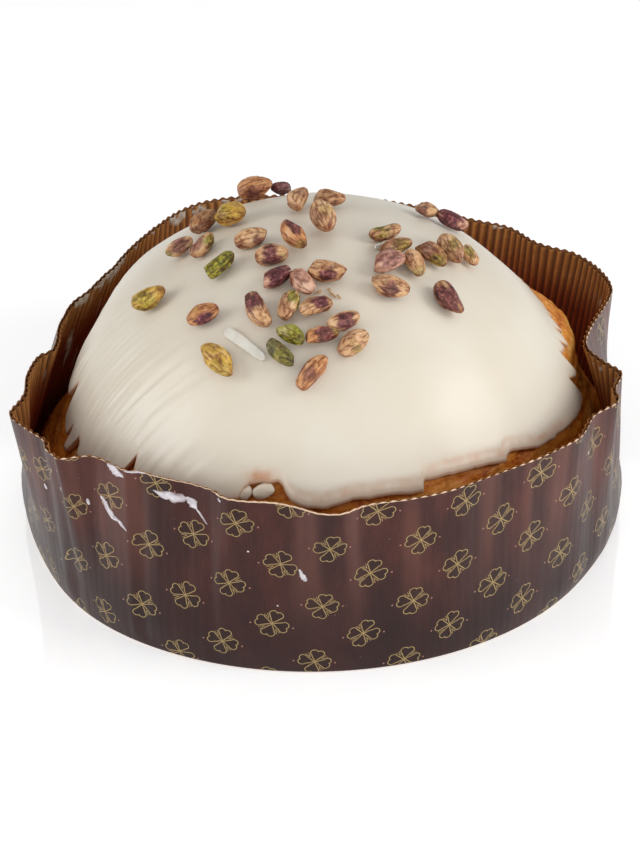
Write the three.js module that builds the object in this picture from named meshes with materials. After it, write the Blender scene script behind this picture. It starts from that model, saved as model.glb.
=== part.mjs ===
import * as THREE from 'three';

// Millimetres, +Z up, the case stands on z = 0 and its front faces -Y.

// Paper case
const baseRadius = 114;
const bulgeRadius = 115;
const bulgeHeight = 12;
const wallHeight = 69;
const fluteCount = 210;
const linerThickness = 0.5;
const fluteDepth = 1.3;
const leanPower = 1.15;
const firstBearing = 1.7;
const softCorner = { at: 340, spread: 16, cut: 5 };
const hemInner = 96;
const hemOuter = 104.2;
const hemThickness = 0.8;
const basePaper = 0.8;
const baseEdge = 103;
const baseSides = 48;
const baseStep = { foot: 2.2, head: 0.9, innerHead: 1.6, innerFoot: 2.9 };
const wallLevels = [4, 12, 40, wallHeight];

// The rim seen from above, counter-clockwise from the right-hand side.
const rimPlan = [
  [102, 3], [109, 19], [114, 34], [111, 50], [103, 64], [92, 72], [78, 89], [62, 98],
  [50, 106], [28, 116], [0, 121], [-24, 123], [-41, 120], [-54, 112], [-63, 98], [-72, 79],
  [-79, 61], [-86, 46], [-93, 31], [-96, 14], [-97, -3], [-102, -8], [-105, -20], [-105, -36],
  [-109, -50], [-103, -59], [-95, -69], [-91, -81], [-83, -80], [-77, -80], [-67, -88],
  [-52, -95], [-39, -101], [-30, -109], [-14, -112], [0, -119], [6, -120], [15, -115],
  [30, -112], [46, -106], [62, -96], [78, -86], [90, -76], [98, -60], [106, -51], [106, -42],
  [110, -30], [104, -21], [100, -12], [100, -5],
];

// Bread: a straight drum low in the case that turns into an off-centre dome.
const drumRadius = 109.6;
const domeRadius = 94.6;
const domeBase = 31;
const breadTop = 118;
const domeShift = [1.4, -8.4];
const shiftHeight = 47;
const breadFloor = 2.3;
const drumToDome = { from: 17, to: 52 };
const footCurve = { top: 14, radius: 11.9, cut: 8.6 };
const icingThickness = 1.8;
const widestStep = 8;
const skinGap = 0.8;
const paperGap = 0.3;
const icingLevels = 8;
const icingClimb = 1.7;
const icingLip = { rounded: 0.004, offset: 0.75, full: 0.03 };
const breadHeights = [breadFloor, 4, 7.5, 14, 26, 38, 47, 56, 62, 66, 70, 73, 76, 84, 93, 102, 109, 115];

// Swellings of the bread: azimuth, height, rise, spread in degrees, spread in mm.
const swellings = [
  [5, 45, 2.5, 25, 18],
  [146, 82, 2.6, 9, 9],
  [162, 66, -1.8, 12, 12],
  [32, 84, -1.4, 10, 8],
  [21, 65, 4.4, 13, 3.6],
  [6, 51, -1.8, 12, 6],
  [2, 36.5, 3.2, 8, 3.5],
  [350, 44, 1, 8, 6],
];
const shoulder = { rise: 5.5, azimuth: 20, half: 24, top: 75, soft: 12, bottom: 38, fade: 14 };

// Lower edge of the icing: azimuth about the dome, height.
const icingEdge = [
  [0, 67.9], [5, 70.5], [12, 71.7], [20, 71.6], [28, 70], [36, 69], [44, 67], [52, 64], [60, 61],
  [75, 57], [90, 55], [105, 58], [120, 55], [135, 57], [150, 54], [165, 56], [174, 54],
  [182, 54], [187, 56], [190, 60], [193, 50], [195, 47], [197.5, 52], [199.5, 46], [202, 52],
  [205, 47], [212, 50], [220, 53], [224, 62], [227, 55], [235, 52], [244, 55], [252, 58],
  [254, 65], [258, 67], [261, 65], [263, 60], [268, 58], [272, 59.5], [279, 61.5],
  [288, 61], [291, 60.5], [293, 62.7], [300, 62.3], [307, 61], [312, 59.5], [314, 58.7],
  [316, 61], [321, 59.5], [328, 56], [336, 54], [344, 52], [350, 50.8], [353.5, 54], [356, 62],
];

// Pistachio kernels lying on the icing: x, y, length, width, heading, tip lift, roll.
const kernelShape = {
  flatness: 0.84, blunt: 0.86, full: 0.64, sides: 7, stations: [0.1, 0.3, 0.55, 0.8], tiltShare: 0.8, gap: 0.3,
};
const kernels = [
  [-20.5, 39, 13.5, 9.5, 8, 0, 10], [-11.5, 46, 10, 6, 60, 0, 0], [-28.5, 1, 12.5, 9, -30, 0, 20],
  [-38, 3, 13.5, 7.5, 58, 0, 0], [-38.5, -14.5, 12.5, 6, 52, 0, 30],
  [-46.5, -9.5, 11, 6.5, 19, 0, 0], [-4.5, 2.5, 12.5, 7, 74, 14, 0], [6, 5.5, 12.5, 6, -20, 6, 40],
  [3.5, -15, 13.5, 8.5, -72, -20, 0], [-21, -20.5, 12.5, 7, 4, 0, 15],
  [-6, -23.5, 14, 7, -64, -12, 0], [-32, -30.5, 13.5, 6.5, 42, 0, 0],
  [-14, -32.5, 12, 7, 5, 0, 20], [4.5, -41.5, 14, 7.5, -11, 0, 0],
  [-12.5, -42.5, 12, 6.5, 31, 0, 0], [-4, -46.5, 11.5, 7, -54, 0, 10],
  [25, -17, 14.5, 6, 42, 0, 0], [28.5, -25.5, 15, 6, 42, 0, 20], [25.5, -35, 14, 7.5, 38, 0, 0],
  [25.5, -45.5, 14, 7.5, -8, 0, 0], [34.5, -32, 12, 6.5, -66, 0, 30],
  [41, 12, 10, 6, 34, 0, 0], [50, 12, 13, 6.5, 8, 0, 0], [47.5, -17.5, 13.5, 8, -54, 0, 0],
  [40.5, -24.5, 13, 6.5, -32, 0, 20], [45.5, -43, 14, 7.5, -46, 0, 0],
  [-37.5, -49.5, 12, 6.5, 10, 0, 0], [-32.5, -67, 16, 8, -56, 0, 0],
  [-18.5, -54.5, 16, 7.5, -72, 0, 15], [-8.5, -54.5, 12, 6.5, 66, 0, 0],
  [0.5, -56, 12, 6.5, 22, 0, 0], [9.5, -60.5, 12, 6.5, 28, 0, 20],
  [-8, -64.5, 11, 6, -42, 0, 0], [2, -65.5, 12, 6, 14, 0, 0], [-11, -69.5, 13, 6, -54, 0, 10],
  [12.5, -67.5, 12.5, 7.5, 46, 0, 0], [-1, -76, 14.5, 7, 57, 0, 0],
  [-56.5, -30, 14, 7.5, -3, 0, 0], [54.5, -14, 10, 5.5, -54, 0, 0],
];

// White slivers on the icing: x, y, length, width, thickness, heading.
const slivers = [
  [-24, -63.5, 19, 4, 1.6, -53],
  [25, -22, 9.5, 1.2, 1.9, 42],
];
const sliverShape = { tip: 1.04, nearEnd: 0.7, farEnd: 0.55, gap: 0.45, domeCurve: 95 };

const rad = (degrees) => degrees * Math.PI / 180;

function smooth(t) {
  const x = Math.min(Math.max(t, 0), 1);
  return x * x * (3 - 2 * x);
}

function turnBetween(a, b) {
  return ((a - b + 540) % 360) - 180;
}

function domeCentre(z) {
  const s = smooth(z / shiftHeight);
  return [domeShift[0] * s, domeShift[1] * s];
}

function breadRadius(azimuth, z) {
  const t = Math.min(Math.max((z - domeBase) / (breadTop - domeBase), 0), 1);
  let r = domeRadius * Math.sqrt(1 - t * t);
  for (const [at, height, rise, turn, tall] of swellings) {
    const a = turnBetween(azimuth, at) / turn;
    const h = (z - height) / tall;
    r += rise * Math.exp(-0.5 * (a * a + h * h));
  }
  const away = Math.abs(turnBetween(azimuth, shoulder.azimuth));
  const around = 1 - smooth((away - shoulder.half * 0.5) / (shoulder.half * 0.7));
  const up = smooth((shoulder.top - z) / shoulder.soft)
    * smooth((z - shoulder.bottom + shoulder.fade) / shoulder.fade);
  r += shoulder.rise * around * up;
  const { from, to } = drumToDome;
  const lower = smooth((z - from) / (to - from));
  if (z < to) r = drumRadius * (1 - lower) + r * lower;
  const low = Math.max((footCurve.top - z) / footCurve.radius, 0);
  return r - footCurve.cut * (1 - Math.sqrt(1 - low * low));
}

function breadPoint(azimuth, z) {
  const [cx, cy] = domeCentre(z);
  const r = breadRadius(azimuth, z);
  return new THREE.Vector3(cx + r * Math.cos(rad(azimuth)), cy + r * Math.sin(rad(azimuth)), z);
}

function breadNormal(azimuth, z) {
  const high = Math.min(z + 0.4, breadTop - 0.02);
  const around = breadPoint(azimuth + 0.5, z).sub(breadPoint(azimuth - 0.5, z));
  const up = breadPoint(azimuth, high).sub(breadPoint(azimuth, high - 0.8));
  return around.cross(up).normalize();
}

// The point a given distance outside the bread's skin.
function overBread(azimuth, z, off) {
  return breadPoint(azimuth, z).addScaledVector(breadNormal(azimuth, z), off);
}

function solid(name, positions, faces, colour) {
  const geometry = new THREE.BufferGeometry();
  geometry.setAttribute('position', new THREE.Float32BufferAttribute(positions.flat(), 3));
  geometry.setIndex(faces.flat());
  geometry.computeVertexNormals();
  const material = new THREE.MeshStandardMaterial({ color: colour, roughness: 0.7 });
  const mesh = new THREE.Mesh(geometry, material);
  mesh.name = name;
  return mesh;
}

// Joins closed rings of points, each listed counter-clockwise; a pole closes an end.
class Skin {
  constructor() {
    this.points = [];
    this.faces = [];
  }

  ring(list) {
    const start = this.points.length;
    for (const p of list) this.points.push(p.toArray ? p.toArray() : p);
    return { start, count: list.length };
  }

  pole(point) {
    return this.ring([point]);
  }

  // The stretch between two rings, of equal count or with one of them twice as fine.
  band(a, b) {
    const tri = (p, q, r) => this.faces.push([p, q, r]);
    if (b.count === 1 || a.count === 1) {
      const loop = b.count === 1 ? a : b;
      const tip = b.count === 1 ? b.start : a.start;
      for (let i = 0; i < loop.count; i++) {
        const p = loop.start + i;
        const q = loop.start + (i + 1) % loop.count;
        if (b.count === 1) tri(p, q, tip);
        else tri(q, p, tip);
      }
      return;
    }
    const fine = Math.max(a.count, b.count);
    for (let i = 0; i < fine; i++) {
      const at = (ring, k) => ring.start + (Math.floor(k * ring.count / fine) % ring.count);
      const near = (ring, k) => ring.start + (Math.ceil(k * ring.count / fine) % ring.count);
      if (a.count === b.count) {
        tri(at(a, i), at(a, i + 1), at(b, i + 1));
        tri(at(a, i), at(b, i + 1), at(b, i));
      } else {
        const coarse = a.count < b.count ? a : b;
        const dense = coarse === a ? b : a;
        const c0 = i % 2 ? near(coarse, i) : at(coarse, i);
        const c1 = near(coarse, i + 1);
        const d0 = at(dense, i);
        const d1 = at(dense, i + 1);
        const flip = coarse === b;
        const put = (p, q, r) => (flip ? tri(p, r, q) : tri(p, q, r));
        put(c0, d1, d0);
        if (c0 !== c1) put(c0, c1, d1);
      }
    }
  }

  mesh(name, colour) {
    return solid(name, this.points, this.faces, colour);
  }
}

function buildRim() {
  const curve = new THREE.CatmullRomCurve3(
    rimPlan.map(([x, y]) => new THREE.Vector3(x, y, 0)), true, 'centripetal');
  curve.arcLengthDivisions = 2000;
  return curve;
}

const rim = buildRim();

// Share of the way round -> point on the outer face of the wall at height z.
function wallPoint(u, z) {
  const edge = rim.getPointAt(((u % 1) + 1) % 1);
  const angle = 2 * Math.PI * u + rad(firstBearing);
  const corner = Math.exp(-0.5 * (turnBetween(u * 360, softCorner.at) / softCorner.spread) ** 2);
  const low = Math.max((bulgeHeight - z) / bulgeHeight, 0);
  const circle = bulgeRadius - (bulgeRadius - baseRadius) * low ** 2 - softCorner.cut * corner * low ** 5;
  const lean = Math.max((z - bulgeHeight) / (wallHeight - bulgeHeight), 0) ** leanPower;
  return new THREE.Vector3(
    circle * Math.cos(angle) * (1 - lean) + edge.x * lean,
    circle * Math.sin(angle) * (1 - lean) + edge.y * lean, z);
}

function wallInward(u, z) {
  const along = wallPoint(u + 0.003, z).sub(wallPoint(u - 0.003, z));
  return new THREE.Vector3(-along.y, along.x, 0).normalize();
}

function buildWall() {
  const skin = new Skin();
  const outside = (z) => Array.from({ length: fluteCount }, (_, i) => wallPoint(i / fluteCount, z));
  const inside = (z) => Array.from({ length: fluteCount * 2 }, (_, i) => {
    const u = i / (fluteCount * 2);
    const depth = linerThickness + (i % 2 ? 0 : fluteDepth);
    return wallPoint(u, z).addScaledVector(wallInward(u, z), depth);
  });
  const flat = (radius, z) => Array.from({ length: fluteCount / 2 }, (_, i) => {
    const p = wallPoint(2 * i / fluteCount, 0);
    return new THREE.Vector3(p.x, p.y, 0).setLength(radius).setZ(z);
  });
  const rings = [flat(hemInner, 0), outside(0)];
  for (const z of wallLevels) rings.push(outside(z));
  for (const z of [...wallLevels].reverse()) rings.push(inside(z));
  rings.push(outside(0).map((p) => p.setLength(hemOuter).setZ(hemThickness)));
  rings.push(flat(hemInner, hemThickness));
  const made = rings.map((list) => skin.ring(list));
  for (let i = 0; i < made.length; i++) skin.band(made[i], made[(i + 1) % made.length]);
  return skin.mesh('case_wall', '#4d2f2b');
}

function buildBase() {
  const skin = new Skin();
  const ring = (radius, z) => skin.ring(Array.from({ length: baseSides }, (_, i) => {
    const a = 2 * Math.PI * i / baseSides;
    return [radius * Math.cos(a), radius * Math.sin(a), z];
  }));
  const step = hemThickness + paperGap;
  const rings = [
    skin.pole([0, 0, 0]),
    ring(hemInner - baseStep.foot, 0),
    ring(hemInner - baseStep.head, step),
    ring(baseEdge, step),
    ring(baseEdge, step + basePaper),
    ring(hemInner - baseStep.innerHead, step + basePaper),
    ring(hemInner - baseStep.innerFoot, basePaper),
    skin.pole([0, 0, basePaper]),
  ];
  for (let i = 0; i + 1 < rings.length; i++) skin.band(rings[i], rings[i + 1]);
  return skin.mesh('case_base', '#6b4a2c');
}

// The bread and its icing share these directions, so that their facets never cross.
const directions = icingEdge.flatMap(([a], i) => {
  const b = i + 1 < icingEdge.length ? icingEdge[i + 1][0] : 360;
  const parts = Math.ceil((b - a) / widestStep);
  return Array.from({ length: parts }, (_, k) => a + (b - a) * k / parts);
});

function buildBread() {
  const skin = new Skin();
  const rings = [skin.pole([0, 0, breadFloor])];
  for (const z of breadHeights) rings.push(skin.ring(directions.map((a) => breadPoint(a, z))));
  const [cx, cy] = domeCentre(breadTop);
  rings.push(skin.pole([cx, cy, breadTop]));
  for (let i = 0; i + 1 < rings.length; i++) skin.band(rings[i], rings[i + 1]);
  return skin.mesh('bread', '#b5651d');
}

function edgeHeight(azimuth) {
  const last = icingEdge.length - 1;
  for (let i = 0; i <= last; i++) {
    const [a, za] = icingEdge[i];
    const [b, zb] = i < last ? icingEdge[i + 1] : [icingEdge[0][0] + 360, icingEdge[0][1]];
    if (azimuth >= a && azimuth < b) return za + (zb - za) * (azimuth - a) / (b - a);
  }
  return icingEdge[0][1];
}

// A skin of even thickness over the dome; it ends in the ragged edge above.
function buildIcing() {
  const skin = new Skin();
  const height = (azimuth, t) => {
    const edge = edgeHeight(azimuth);
    return edge + (breadTop - edge) * (1 - (1 - t) ** icingClimb);
  };
  const layer = (t, off) => skin.ring(directions.map((a) => overBread(a, height(a, t), off)));
  const outer = skinGap + icingThickness;
  const [cx, cy] = domeCentre(breadTop);
  const rings = [skin.pole([cx, cy, breadTop + skinGap])];
  for (let k = icingLevels - 1; k >= 0; k--) rings.push(layer(k / icingLevels, skinGap));
  rings.push(layer(icingLip.rounded, outer * icingLip.offset));
  rings.push(layer(icingLip.full, outer));
  for (let k = 1; k < icingLevels; k++) rings.push(layer(k / icingLevels, outer));
  rings.push(skin.pole([cx, cy, breadTop + outer]));
  for (let i = 0; i + 1 < rings.length; i++) skin.band(rings[i], rings[i + 1]);
  return skin.mesh('icing', '#e2dac8');
}

// The height of the icing's outer face over a point of the plan.
function icingHeight(x, y) {
  const outer = skinGap + icingThickness;
  let low = domeBase;
  let high = breadTop + outer;
  for (let i = 0; i < 40; i++) {
    const z = (low + high) / 2;
    const [cx, cy] = domeCentre(z);
    const azimuth = (Math.atan2(y - cy, x - cx) * 180 / Math.PI + 360) % 360;
    const grown = breadRadius(azimuth, z * breadTop / (breadTop + outer)) + outer;
    if (Math.hypot(x - cx, y - cy) < grown) low = z;
    else high = z;
  }
  return (low + high) / 2;
}

function surfaceFrame(x, y, heading, tilt) {
  const z = icingHeight(x, y);
  const d = 1.5;
  const up = new THREE.Vector3(
    (icingHeight(x - d, y) - icingHeight(x + d, y)) / (2 * d),
    (icingHeight(x, y - d) - icingHeight(x, y + d)) / (2 * d), 1).normalize();
  const along = new THREE.Vector3(Math.cos(rad(heading)), Math.sin(rad(heading)), 0);
  along.addScaledVector(up, -along.dot(up)).normalize();
  const side = new THREE.Vector3().crossVectors(up, along);
  const axis = along.clone().applyAxisAngle(side, -rad(tilt));
  const lifted = up.clone().applyAxisAngle(side, -rad(tilt));
  return { at: new THREE.Vector3(x, y, z), up, axis, side, lifted };
}

// An almond shape: pointed at one end, rounder at the other, a little flattened.
function buildKernel(name, [x, y, length, width, heading, tilt, roll]) {
  const skin = new Skin();
  const { flatness, blunt, full, sides, stations, tiltShare, gap } = kernelShape;
  const { at, up, axis, side, lifted } = surfaceFrame(x, y, heading, tilt);
  const thick = width * flatness;
  const turn = rad(roll);
  const reach = Math.sin(rad(tilt)) * length / 2;
  const centre = at.clone().addScaledVector(up, thick / 2 + Math.abs(reach) * tiltShare + gap);
  const place = (s, a, b) => centre.clone()
    .addScaledVector(axis, (s - 0.5) * length)
    .addScaledVector(side, a * Math.cos(turn) - b * Math.sin(turn))
    .addScaledVector(lifted, a * Math.sin(turn) + b * Math.cos(turn));
  const rings = [skin.pole(place(0, 0, 0))];
  for (const s of stations) {
    const girth = Math.sin(Math.PI * s ** blunt) ** full;
    rings.push(skin.ring(Array.from({ length: sides }, (_, i) => {
      const a = 2 * Math.PI * i / sides;
      return place(s, girth * width / 2 * Math.cos(a), girth * thick / 2 * Math.sin(a));
    })));
  }
  rings.push(skin.pole(place(1, 0, 0)));
  for (let i = 0; i + 1 < rings.length; i++) skin.band(rings[i], rings[i + 1]);
  return skin.mesh(name, '#9a8a4a');
}

function buildSliver(name, [x, y, length, width, thickness, heading]) {
  const { at, up, axis, side } = surfaceFrame(x, y, heading, 0);
  const { tip, nearEnd, farEnd, gap, domeCurve } = sliverShape;
  const sag = length * length / (8 * domeCurve);
  const skin = new Skin();
  const corner = (s, a, b) => at.clone()
    .addScaledVector(axis, s * length / 2)
    .addScaledVector(side, a * width / 2)
    .addScaledVector(up, gap + b * thickness - s * s * sag);
  const slice = (s, narrow) => skin.ring([
    corner(s, -narrow, 0), corner(s, narrow, 0), corner(s, narrow, 1), corner(s, -narrow, 1)]);
  const rings = [
    skin.pole(corner(-tip, 0, 0.5)), slice(-1, nearEnd), slice(0, 1), slice(1, farEnd),
    skin.pole(corner(tip, 0, 0.5))];
  for (let i = 0; i + 1 < rings.length; i++) skin.band(rings[i], rings[i + 1]);
  return skin.mesh(name, '#efe8dc');
}

const group = new THREE.Group();
group.name = 'panettone_in_case';
group.add(buildWall(), buildBase(), buildBread(), buildIcing());
kernels.forEach((row, i) => {
  group.add(buildKernel(`pistachio_${String(i + 1).padStart(2, '0')}`, row));
});
slivers.forEach((row, i) => group.add(buildSliver(`white_sliver_${i + 1}`, row)));

export default group;
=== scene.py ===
from itertools import product

import bpy
import numpy as np
from mathutils import Matrix


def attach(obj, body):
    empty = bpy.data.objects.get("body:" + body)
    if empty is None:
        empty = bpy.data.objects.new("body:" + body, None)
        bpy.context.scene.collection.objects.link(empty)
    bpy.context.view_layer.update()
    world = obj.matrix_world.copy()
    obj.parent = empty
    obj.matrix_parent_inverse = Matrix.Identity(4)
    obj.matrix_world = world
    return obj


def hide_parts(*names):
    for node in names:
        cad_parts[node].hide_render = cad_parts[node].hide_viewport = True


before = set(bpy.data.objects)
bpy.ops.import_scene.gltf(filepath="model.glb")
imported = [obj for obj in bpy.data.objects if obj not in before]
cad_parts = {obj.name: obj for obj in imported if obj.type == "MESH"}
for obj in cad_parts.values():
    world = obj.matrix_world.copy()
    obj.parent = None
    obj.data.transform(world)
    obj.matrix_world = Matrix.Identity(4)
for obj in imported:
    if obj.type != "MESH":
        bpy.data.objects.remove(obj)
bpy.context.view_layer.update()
millimetre = 0.001
octaveShift = 137.3  # in cells, so that one octave of noise doesn't sit on the next


def smooth(t):
    # t squared times three less twice t, held between 0 and 1
    t = np.clip(t, 0, 1)
    return t * t * (3 - 2 * t)


def bump(x, width):
    # a bell of height 1: e to the power of minus half of (x / width) squared
    return np.exp(-0.5 * (x / width) ** 2)


def turnBetween(a, b):
    # signed difference of two bearings, -180 to 180 degrees
    return (a - b + 540) % 360 - 180


def cellValue(x, y, z, seed):
    # a hash of three whole numbers, brought to -1 ... 1
    h = (x * 374761393 + y * 668265263 + z * 2147483647 + seed * 974634777) & 0xFFFFFFFF
    h = ((h ^ (h >> 13)) * 1274126177) & 0xFFFFFFFF
    return ((h ^ (h >> 16)) & 0xFFFF) / 32767.5 - 1


def noise(points, cell, seed=0, octaves=1):
    # the eight corner values of each cell, blended by smooth();
    # each octave is half as big and half as strong as the one before
    total = np.zeros(np.shape(points)[:-1])
    for octave in range(octaves):
        q = np.asarray(points, float) / np.asarray(cell) * 2 ** octave + octaveShift * octave
        low = np.floor(q).astype(np.int64)
        f = smooth(q - low)
        for corner in product((0, 1), repeat=3):
            weight = np.prod(np.where(corner, f, 1 - f), axis=-1)
            place = [low[..., i] + corner[i] for i in range(3)]
            total += 0.5 ** octave * weight * cellValue(*place, seed + octave)
    return total


def triple(x, y, z):
    return np.stack(np.broadcast_arrays(x, y, z), -1)


def unit(v):
    return v / np.linalg.norm(v, axis=-1, keepdims=True)


def poles(rows):
    # the middles of the first and the last row
    return rows[0].mean(0), rows[-1].mean(0)


def added(name, data):
    made = bpy.data.objects.new(name, data)
    bpy.context.scene.collection.objects.link(made)
    return made


def placed(right, up, back, place):
    # the matrix of a camera or lamp: three directions and a place, in columns
    axes = np.eye(4)
    axes[:3] = np.stack([right, up, back, place], 1)
    return Matrix(axes.tolist())


def surface(name, rows, material, uv=None, bottom=None, top=None, loop=False, values=None):
    # a grid of points in mm: each row runs counter-clockwise and closes on itself, and the rows
    # go up the outside, so faces point out; bottom and top are poles, closed with a fan
    count, columns = rows.shape[:2]
    index = np.arange(count * columns).reshape(count, columns)
    index = np.hstack([index, index[:, :1]])
    if loop:
        index = np.vstack([index, index[:1]])
    corners = [index[:-1, :-1], index[:-1, 1:], index[1:, 1:], index[1:, :-1]]
    quads = np.stack(corners, -1).reshape(-1, 4)
    points = rows.reshape(-1, 3)
    fans = []
    for pole, edge, way in ((bottom, index[0], -1), (top, index[-1], 1)):
        if pole is not None:
            points = np.vstack([points, pole])
            tip = np.full(columns, len(points) - 1)
            pair = (edge[:-1], edge[1:])[::way]
            fans.append(np.stack([*pair, tip], -1))
    faces = [quads, *fans]
    mesh = bpy.data.meshes.new(name)
    mesh.vertices.add(len(points))
    mesh.vertices.foreach_set("co", (points * millimetre).astype(np.float32).ravel())
    flat = np.concatenate([f.ravel() for f in faces])
    sizes = np.concatenate([np.full(len(f), f.shape[1]) for f in faces])
    mesh.loops.add(len(flat))
    mesh.loops.foreach_set("vertex_index", flat.astype(np.int32))
    mesh.polygons.add(len(sizes))
    mesh.polygons.foreach_set("loop_start", (np.cumsum(sizes) - sizes).astype(np.int32))
    mesh.polygons.foreach_set("use_smooth", np.ones(len(sizes), bool))
    if uv is not None:
        grid = [uv[:-1, :-1], uv[:-1, 1:], uv[1:, 1:], uv[1:, :-1]]
        flatUv = np.stack(grid, 2).reshape(-1, 2)
        spare = np.zeros((len(flat) - len(flatUv), 2))
        layer = mesh.uv_layers.new(name="paper")
        layer.uv.foreach_set("vector", np.vstack([flatUv, spare]).astype(np.float32).ravel())
    for key, array in (values or {}).items():
        array = np.asarray(array, np.float32).ravel()
        padded = np.concatenate([array, np.full(len(points) - len(array), array[-1])])
        mesh.attributes.new(key, "FLOAT", "POINT").data.foreach_set("value", padded)
    mesh.update(calc_edges=True)
    mesh.validate()
    mesh.materials.append(material)
    return added(name, mesh)


def joined(name, parts):
    # several finished pieces become one object
    bpy.ops.object.select_all(action="DESELECT")
    for part in parts:
        part.select_set(True)
    bpy.context.view_layer.objects.active = parts[0]
    bpy.ops.object.join()
    parts[0].name = name
    return parts[0]


# Materials

def tone(red, green, blue):
    # a colour as the screen shows it, 0 to 255, brought to linear light
    c = np.array([red, green, blue]) / 255
    linear = np.where(c <= 0.04045, c / 12.92, ((c + 0.055) / 1.055) ** 2.4)
    return (*(float(x) for x in linear), 1.0)


def asColour(source):
    # three numbers are a screen colour; four are linear already
    if isinstance(source, tuple) and len(source) == 3:
        return tone(*source)
    return source


def startMaterial(name, **sockets):
    material = bpy.data.materials.new(name)
    material.use_nodes = True
    shader = material.node_tree.nodes["Principled BSDF"]
    for key, value in sockets.items():
        shader.inputs[key.replace("_", " ")].default_value = value
    return material, material.node_tree, shader


def put(tree, kind, wires=None, **settings):
    node = tree.nodes.new("ShaderNode" + kind)
    for key, value in settings.items():
        setattr(node, key, value)
    for socket, source in (wires or {}).items():
        if isinstance(source, bpy.types.NodeSocket):
            tree.links.new(source, node.inputs[socket])
        else:
            node.inputs[socket].default_value = source
    return node


def calc(tree, operation, *sources, clamp=False):
    wires = dict(enumerate(sources))
    return put(tree, "Math", wires, operation=operation, use_clamp=clamp).outputs[0]


def plus(tree, a, b):
    return calc(tree, "ADD", a, b)


def minus(tree, a, b):
    return calc(tree, "SUBTRACT", a, b)


def times(tree, a, b):
    return calc(tree, "MULTIPLY", a, b)


def positive(tree, a):
    return calc(tree, "ABSOLUTE", a)


def blendColour(tree, share, a, b, way="MIX"):
    node = put(tree, "Mix", data_type="RGBA", blend_type=way)
    for socket, source in ((0, share), (6, asColour(a)), (7, asColour(b))):
        if isinstance(source, bpy.types.NodeSocket):
            tree.links.new(source, node.inputs[socket])
        else:
            node.inputs[socket].default_value = source
    return node.outputs[2]


def tint(tree, base, mask, share, colour):
    # lays a colour over the base, at a share of the mask
    return blendColour(tree, times(tree, mask, share), base, colour)


def ramp(tree, source, stops):
    # stops are places from 0 to 1, each with its colour
    node = put(tree, "ValToRGB", {0: source})
    spots = node.color_ramp.elements
    while len(spots) < len(stops):
        spots.new(0.5)
    for spot, (at, colour) in zip(spots, stops):
        spot.position = at
        spot.color = asColour(colour)
    return node.outputs[0]


def between(tree, source, low, high):
    # 0 below low, 1 above high, smooth in the middle
    wires = {0: source, 1: low, 2: high}
    return put(tree, "MapRange", wires, interpolation_type="SMOOTHSTEP").outputs[0]


def cloud(tree, where, scale, detail=3.0, rough=0.55):
    wires = {"Vector": where, "Scale": scale, "Detail": detail, "Roughness": rough}
    return put(tree, "TexNoise", wires).outputs["Fac"]


def stretched(tree, where, scale):
    return put(tree, "Mapping", {"Vector": where, "Scale": scale}).outputs[0]


def attribute(tree, name):
    return put(tree, "Attribute", attribute_name=name).outputs["Fac"]


def onObject(tree):
    return put(tree, "TexCoord").outputs["Object"]


def onPaper(tree):
    # millimetres round the wall and up it
    return put(tree, "UVMap", uv_map="paper").outputs[0]


def component(tree, vector, which):
    return put(tree, "SeparateXYZ", {0: vector}).outputs[which]


def relief(tree, shader, height, deep, strength):
    # deep is in metres
    node = put(tree, "Bump", {"Height": height, "Distance": deep, "Strength": strength})
    tree.links.new(node.outputs[0], shader.inputs["Normal"])


def paint(tree, shader, colour):
    tree.links.new(colour, shader.inputs["Base Color"])


# The paper case, in mm; bearings and spreads in degrees

caseWall = {
    "baseRadius": 114.0,
    "bulgeRadius": 115.0,
    "bulgeHeight": 12.0,
    "height": 69.0,
    "leanPower": 1.15,
    "firstBearing": 1.7,
    "seam": 0.25,  # share of the way round, at the back
    "softCorner": (340.0, 16.0, 2.0),  # bearing, spread, how far the foot is cut
    "flatSide": (197.0, 14.0, 3.7),  # bearing, spread, how far the side is flattened
    "linerThickness": 0.4,
    "flutes": 210,
    "stepsPerFlute": 8,
    "fluteMiddle": 1.15,  # behind the printed face
    "fluteSwing": 0.56,
    "fluteTop": 67.9,
    "fluteTopWander": 0.12,
    "fluteDrift": 0.35,  # radians
    "sheetThickness": 0.16,
    "scallop": 0.8,
    "scallopPower": 0.7,
    "scallopEven": 0.85,  # share of the scallops that is lost where the rim runs even
    "lipBelow": 0.25,
    "lipWander": 0.18,
    "bareTip": 0.72,
    "turnedIn": -10.0,  # the print's measure for what shows no print
    "hemInner": 96.0,
    "hemThickness": 0.7,
    "pleats": 160,  # round the whole hem
    "pleatDepth": 0.12,
    "pleatFrom": 106.0,
    "pleatFade": 8.0,
}

# The slow waviness of the paper: size of the two waves, their cells and how far up they fade in.
paperWaves = {"ring": 119.0, "upright": 0.25, "slow": 0.45, "slowCell": 11.0, "fine": 0.12, "fineCell": 4.0,
              "fade": 6.0}

# The rim seen from above, counter-clockwise from the right-hand side.
rimPlan = [
    (102, 3), (109, 19), (114, 34), (111, 50), (103, 64), (92, 72), (78, 89), (62, 98), (50, 106),
    (28, 116), (0, 121), (-24, 123), (-41, 120), (-54, 112), (-63, 98), (-72, 79), (-79, 61),
    (-86, 46), (-93, 31), (-96, 14), (-97, -3), (-102, -8), (-105, -20), (-105, -36), (-109, -50),
    (-103, -59), (-95, -69), (-91, -81), (-83, -80), (-77, -80), (-67, -88), (-52, -95),
    (-39, -101), (-30, -109), (-14, -112), (0, -119), (6, -120), (15, -115), (30, -112), (46, -106),
    (62, -96), (78, -86), (90, -76), (98, -60), (106, -51), (106, -42), (110, -30), (104, -21),
    (100, -12), (100, -5),
]


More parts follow.
